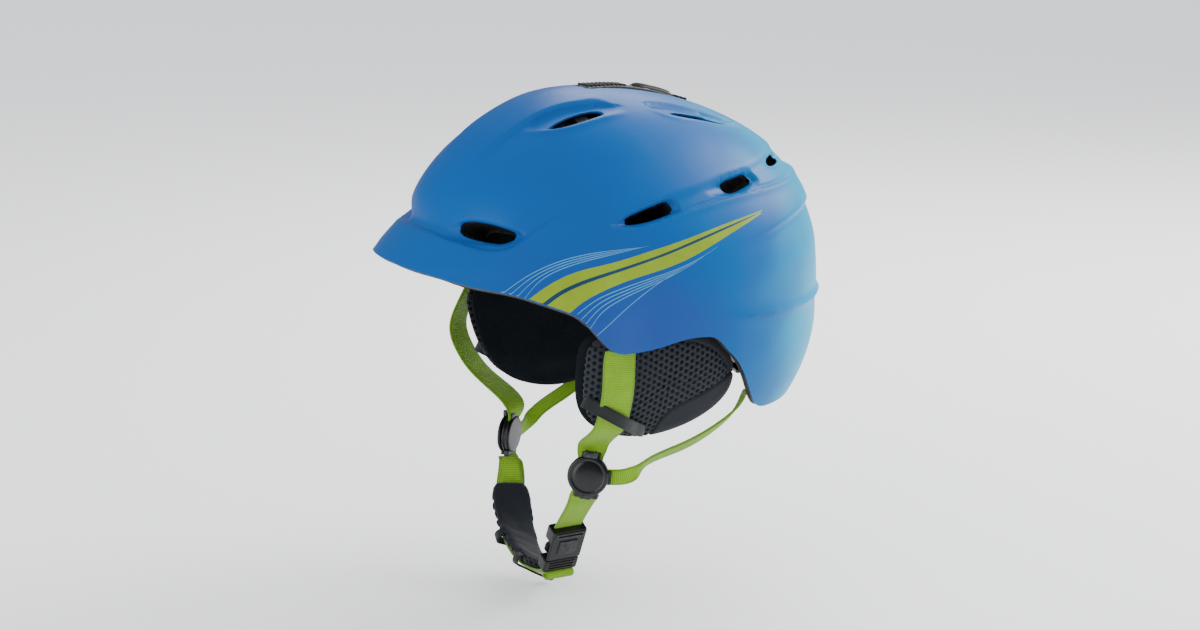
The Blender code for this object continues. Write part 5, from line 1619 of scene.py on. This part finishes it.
def chin_path(hub):
    return ribbon(
        [MOUTH + DOWN * 10.4, (22.0, -49.5, -200.5), (6.0, -50.5, -204.0),
         (-12.0, -50.0, -203.0), (-29.0, -47.5, -197.5), (-43.5, -43.5, -187.5),
         (-54.0, -39.5, -174.0), (-61.0, -35.5, -160.0), hub.centre - hub.up * 12.0],
        [(0, 1, 0), (0, 0.93, -0.3), (0, 0.86, -0.5), (0, 0.86, -0.5), (0.1, 0.86, -0.45),
         (0.2, 0.9, -0.3), (0.3, 0.93, -0.15), (0.5, 0.86, 0), hub.back],
        181,
    )


def chin_straps(path, inner):
    """The strap under the chin and its free end, which lies along its outer side."""
    hub = DIVIDERS[-1]
    taper = [1] * 21 + [0.99, 0.97, 0.93, 0.87, 0.80, 0.72, 0.64, 0.57, 0.52]
    strap = tape("web_chin", path, None, "strap_lower_right", taper=taper)
    part = Ribbon(*(field[96:166] for field in path))
    lift = 1.7 + 3.2 * ramp(52, 70, np.arange(70))
    part = part._replace(centre=part.centre - part.normal * (inner * lift)[:, None])
    taper = [1] * 6 + [0.99, 0.95, 0.89, 0.82, 0.72]
    free_end = tape("web_free_end", part, None, width=WEB_W * 0.97, thick=1.4, taper=taper)
    start, end = hub.centre - hub.up * 10, hub.centre - hub.up * 38
    for obj in (strap, free_end):
        blend(obj, "chin_strap", start, end)


def buckle_bars(name, body, rows):
    parts = pills(MOUTH, (REARWARD, DOWN, OUT), rows)
    declare(make(name, *joined(parts), PLASTIC, body, sharp=50))


def buckle_details():
    """Frame bars and pad on the socket, grip ribs on the plug and on the squeezed arms."""
    buckle_bars("socket_face", "ear_left", [
        ((0, -11.5, 5.6), (6.6, 5.6, 0.75), 0.6),
        ((0, -20.4, 5.6), (10.2, 0.9, 0.7), 0.55),
        ((0, -23.2, 5.6), (10.2, 0.8, 0.7), 0.55),
        ((-9.6, -21.8, 5.6), (0.9, 2.2, 0.7), 0.55),
        ((9.6, -21.8, 5.6), (0.9, 2.2, 0.7), 0.55),
    ])
    buckle_bars("plug_ribs", "chin_strap", [
        ((0, 2.8 + 2.3 * i, 5.0), (9.4 - 0.5 * i, 0.6, 0.7), 0.5) for i in range(3)])
    for label, sign in (("front", -1), ("rear", 1)):
        buckle_bars("release_ribs_" + label, "release_" + label, [
            ((sign * 11.75, -6.4 - 1.7 * i, 0), (0.65, 0.45, 1.5), 0.35) for i in range(3)])


def chin_cushion(path, inner):
    """Fleece-smooth towards the chin, net outside."""
    obj = soft_body("chin_cushion", "chin_pad", 2.4, 1.9, shrink=0.5, relax=4, levels=2)
    points = design(obj)
    squared = ((points[:, None, :] - path.centre[None, 20:150:3]) ** 2).sum(2)
    k = 20 + 3 * squared.argmin(1)
    offset = points - path.centre[k]
    height = (offset * path.normal[k]).sum(1) * inner
    width = (offset * path.across[k]).sum(1)
    along = travel(path.centre)[k] + (offset * path.along[k]).sum(1)
    across = width + np.sign(width) * np.clip(7.5 - height, 0, 8)
    plain = ramp(5.2, 6.2, height) * ramp(15.5, 13.5, np.abs(width))
    add_attribute(obj, "pad_uv", along, across, 0 * along)
    add_attribute(obj, "pad_zone", plain, 1 - plain, 0 * along)
    seam = np.exp(-(((height - 5.7) / 0.9) ** 2)) * ramp(12, 13.5, np.abs(width))
    push(obj, -0.55 * net_hole(along, across) * (1 - plain) - 0.7 * seam)
    finish_soft(obj, "chin_pad", MESH, "chin_strap")


def chin_bands(path, inner):
    """Two elastic loops that hold the chin pad on its strap."""
    section = [  # across the strap, towards the chin
        (-13.2, 5.4), (-15.6, 3.2), (-15.8, 0.4), (-14.6, -1.6), (-11.5, -2.0), (0, -2.1),
        (11.5, -2.0), (14.6, -1.6), (15.8, 0.4), (15.6, 3.2), (13.2, 5.4)]
    for label, i in (("a", 40), ("b", 75)):
        centre, along, across, normal = (field[i] for field in path)
        points = [centre + across * x + normal * inner * y for x, y in section]
        tape(
            "chin_band_" + label, ribbon(points, [along] * len(points), 60), "chin_strap",
            "chin_loop_" + label, width=6.8, thick=1.0, weave=STRETCH,
        )


def strap_fold():
    """The short fold of webbing round the plug's bar."""
    section = [  # out, down
        (1.0, 3.0), (4.2, 2.9), (6.2, 3.5), (6.9, 5.3), (6.0, 7.0), (4.2, 7.5), (1.6, 7.3)]
    points = [MOUTH + DOWN * 7.9 + OUT * x + DOWN * y for x, y in section]
    path = ribbon(points, [REARWARD] * len(points), 50)
    tape("web_fold", path, "chin_strap", "strap_tail", thick=1.5)


lower_left_strap()
chin = chin_path(DIVIDERS[-1])
# the sign that turns the path's normal towards the chin
chin_side = 1.0 if float(chin.normal[72] @ np.array([0.0, 0.3, 1.0])) > 0 else -1.0
chin_straps(chin, chin_side)
buckle_details()
chin_cushion(chin, chin_side)
chin_bands(chin, chin_side)
strap_fold()

# ------------------------------------------------------------------ vent slider
AXIS_Y, AXIS_Z, KNOB_Y = -3.0, -37.0, 37.4  # the axis the knob swings about, and its place
knob_rise = float(top_height(0.0, KNOB_Y, 0.0)) - AXIS_Z
KNOB_R = math.hypot(KNOB_Y - AXIS_Y, knob_rise) + 0.7
KNOB_ANGLE = math.atan2(KNOB_Y - AXIS_Y, knob_rise)


def slider_knob():
    """A low domed pad with moulded grip ribs, curved to its own arc."""
    t = np.linspace(-1, 1, 145)[:, None]
    across = np.linspace(-1, 1, 33)[None, :]
    dome = np.clip(1 - np.abs(t) ** 5, 0, 1) ** 0.5 * np.clip(1 - np.abs(across) ** 7, 0, 1) ** 0.5
    rib = (0.5 - 0.5 * np.cos(14 * math.pi * t)) ** 0.6
    rib = rib * ramp(0.99, 0.86, np.abs(t)) * ramp(0.97, 0.80, np.abs(across))

    def on_arc(radius):
        angle = KNOB_ANGLE + 0.083 * t
        y, z = AXIS_Y + radius * np.sin(angle), AXIS_Z + radius * np.cos(angle)
        return np.stack([np.broadcast_to(7.0 * across, radius.shape), y, z], -1)

    top = KNOB_R + 0.35 + 1.55 * dome + 0.85 * rib
    low = np.full(top.shape, KNOB_R + 0.12)
    knob = slab("slider_knob", on_arc(top), on_arc(low), SLIDER, "vent_slider")
    declare(knob, "vent_slider_knob")


def deck_height(x, y):
    """The crown or the knob's arc, whichever is higher, with a soft change between them."""
    crown = top_height(x, y, 0.0)
    arc = AXIS_Z + np.sqrt(KNOB_R**2 - (y - AXIS_Y) ** 2) - 0.05
    return crown + np.log1p(np.exp(12 * (arc - crown))) / 12


def deck_top(x, y):
    brink = ramp(TRACK_HALF_X - 0.7, TRACK_HALF_X, np.abs(x))
    brink = brink + ramp(TRACK_FRONT + 0.7, TRACK_FRONT, y) + ramp(TRACK_REAR - 0.7, TRACK_REAR, y)
    return deck_height(x, y) - 0.5 * np.clip(brink, 0, 1) ** 2


def plate(xs, ys, filled, top, low):
    """A closed plate over a grid of cells, leaving out the cells where filled is false."""
    x, y = np.meshgrid(xs, ys, indexing="ij")
    count = x.size
    sheets = [np.stack([x, y, height], -1).reshape(-1, 3) for height in (top(x, y), low(x, y))]
    index = np.arange(count).reshape(x.shape)
    cells = filled((x[1:, 1:] + x[:-1, :-1]) / 2, (y[1:, 1:] + y[:-1, :-1]) / 2)
    faces, edges = [], set()
    for i, j in zip(*np.nonzero(cells)):
        quad = (index[i, j], index[i + 1, j], index[i + 1, j + 1], index[i, j + 1])
        faces += [quad, tuple(k + count for k in quad[::-1])]
        edges.update(zip(quad, quad[1:] + quad[:1]))
    for start, end in sorted(edges):
        if (end, start) not in edges:
            faces.append((end, start, start + count, end + count))
    return compact(np.concatenate(sheets), faces)


def slider_track():
    """A raised deck along the knob's arc, open in the middle, with grip bars at both ends."""
    half = np.array([TRACK_HALF_X, 8.6, 8.2, 7.4, 6.2, 5.0, 4.0, 3.6, SLOT_HALF_X])
    xs = np.concatenate([-half, [0], half[::-1]])
    ys = np.concatenate([[TRACK_FRONT, -14.6, -14.2], np.arange(-13, 62), [62.2, 62.6, TRACK_REAR]])
    parts = [plate(
        xs, ys, lambda x, y: (np.abs(x) > SLOT_HALF_X) | (np.abs(y - SLOT_Y) > SLOT_HALF_Y),
        deck_top, lambda x, y: top_height(x, y, 0.75),
    )]
    for y in [*range(-12, 16, 3), 54, 57, 60]:
        height = float(deck_height(0.0, y))
        slope = (float(deck_height(0.0, y + 1)) - float(deck_height(0.0, y - 1))) / 2
        along, up, _ = basis((0, 1, slope), (0, -slope, 1))
        parts.append(pill((0, y, height + 0.25), ((1, 0, 0), along, up), (6.8, 0.75, 1.0), 0.7))
    deck = make("track_deck", *joined(parts), SLIDER, "helmet", sharp=50)
    declare(deck, "slider_track")


slider_knob()
slider_track()

# ------------------------------------------------------------------ finishes of the kept CAD pieces
FINISHES = {name: PLASTIC for name in (
    "vent_shutter", "fit_cradle", "dial_housing", "fit_dial", "dial_pinion",
    "fit_arm_left", "fit_arm_right", "strap_anchor_front_left", "strap_anchor_front_right",
    "strap_anchor_rear_left", "strap_anchor_rear_right", "buckle_socket", "buckle_plug",
    "buckle_release_front", "buckle_release_rear", "goggle_clip_base", "goggle_clip_stud",
    "goggle_clip_strap",
)}
FINISHES.update(fit_dial=SLIDER, goggle_clip_strap=RUBBER)
for name, mat in FINISHES.items():
    piece = NODES[name]
    piece.data.materials.clear()
    piece.data.materials.append(mat)
    shade_smooth(piece.data)
    modify(piece, "WELD", merge_threshold=0.00002)
    modify(
        piece, "BEVEL", width=0.00035, segments=2, limit_method="ANGLE",
        angle_limit=math.radians(32),
    )
    modify(piece, "WEIGHTED_NORMAL", keep_sharp=True)

# ------------------------------------------------------------------ floor, light, camera, in metres
COOL_WHITE = (0.95, 0.97, 1.0)
TARGET = Vector((0.0, 0.0, -0.117))
TO_CAMERA = Vector((0.852, -0.472, 0.225)).normalized()
CAMERA_RIGHT = Vector((0.472, 0.852, 0.0)).normalized()


def add_floor():
    """A pale disc just below the helmet that glows a little to the camera."""
    low = cad_box[0][2] - 0.0012
    bpy.ops.mesh.primitive_circle_add(
        vertices=96, radius=14, fill_type="NGON", location=(0, 0, low)
    )
    floor = bpy.context.object
    floor.name = "floor"
    mat = Material("floor_pale")
    seen = mat.add("ShaderNodeLightPath", output="Is Camera Ray")
    mat.feed(mat.bsdf, {
        "Base Color": (0.86, 0.86, 0.87),
        "Roughness": 0.75,
        "Emission Strength": seen.remap(span=(0, 1), to=(0, 0.45)),
        "Emission Color": COOL_WHITE,
    })
    floor.data.materials.append(mat.data)


def add_world():
    """Even light, dimmer in reflections."""
    world = bpy.data.worlds.new("studio")
    bpy.context.scene.world = world
    world.use_nodes = True
    graph = Graph(world.node_tree)
    glossy = graph.add("ShaderNodeLightPath", output="Is Glossy Ray")
    strength = glossy.remap(span=(0, 1), to=(1.05, 0.22))
    graph.feed(graph.tree.nodes["Background"], {0: COOL_WHITE, 1: strength})


def place_object(name, data, at, facing):
    obj = bpy.data.objects.new(name, data)
    bpy.context.scene.collection.objects.link(obj)
    obj.location = at
    obj.rotation_mode = "QUATERNION"
    obj.rotation_quaternion = facing.to_track_quat("-Z", "Y")
    return obj


def soft_light(name, offset, aim_up, size, power):
    """A square area light, offset from the target and aimed a little above it."""
    light = bpy.data.lights.new(name, "AREA")
    light.shape = "SQUARE"
    light.size = size
    light.energy = power
    at = TARGET + offset
    place_object(name, light, at, TARGET + Vector((0, 0, aim_up)) - at)


def add_camera():
    camera = bpy.data.cameras.new("camera")
    camera.sensor_width = 36
    camera.lens = 69
    at = TARGET + TO_CAMERA * 1.5
    bpy.context.scene.camera = place_object("camera", camera, at, -TO_CAMERA)


add_floor()
add_world()
soft_light("key", Vector((0.15, 1.65, 1.0)), aim_up=0.06, size=1.0, power=44)
soft_light("top", Vector((-0.95, 0.75, 1.1)), aim_up=0, size=0.9, power=14)
front_offset = CAMERA_RIGHT * -1.2 + TO_CAMERA * 1.1 + Vector((0, 0, 0.2))
soft_light("front_fill", front_offset, aim_up=0.02, size=1.2, power=13)
add_camera()
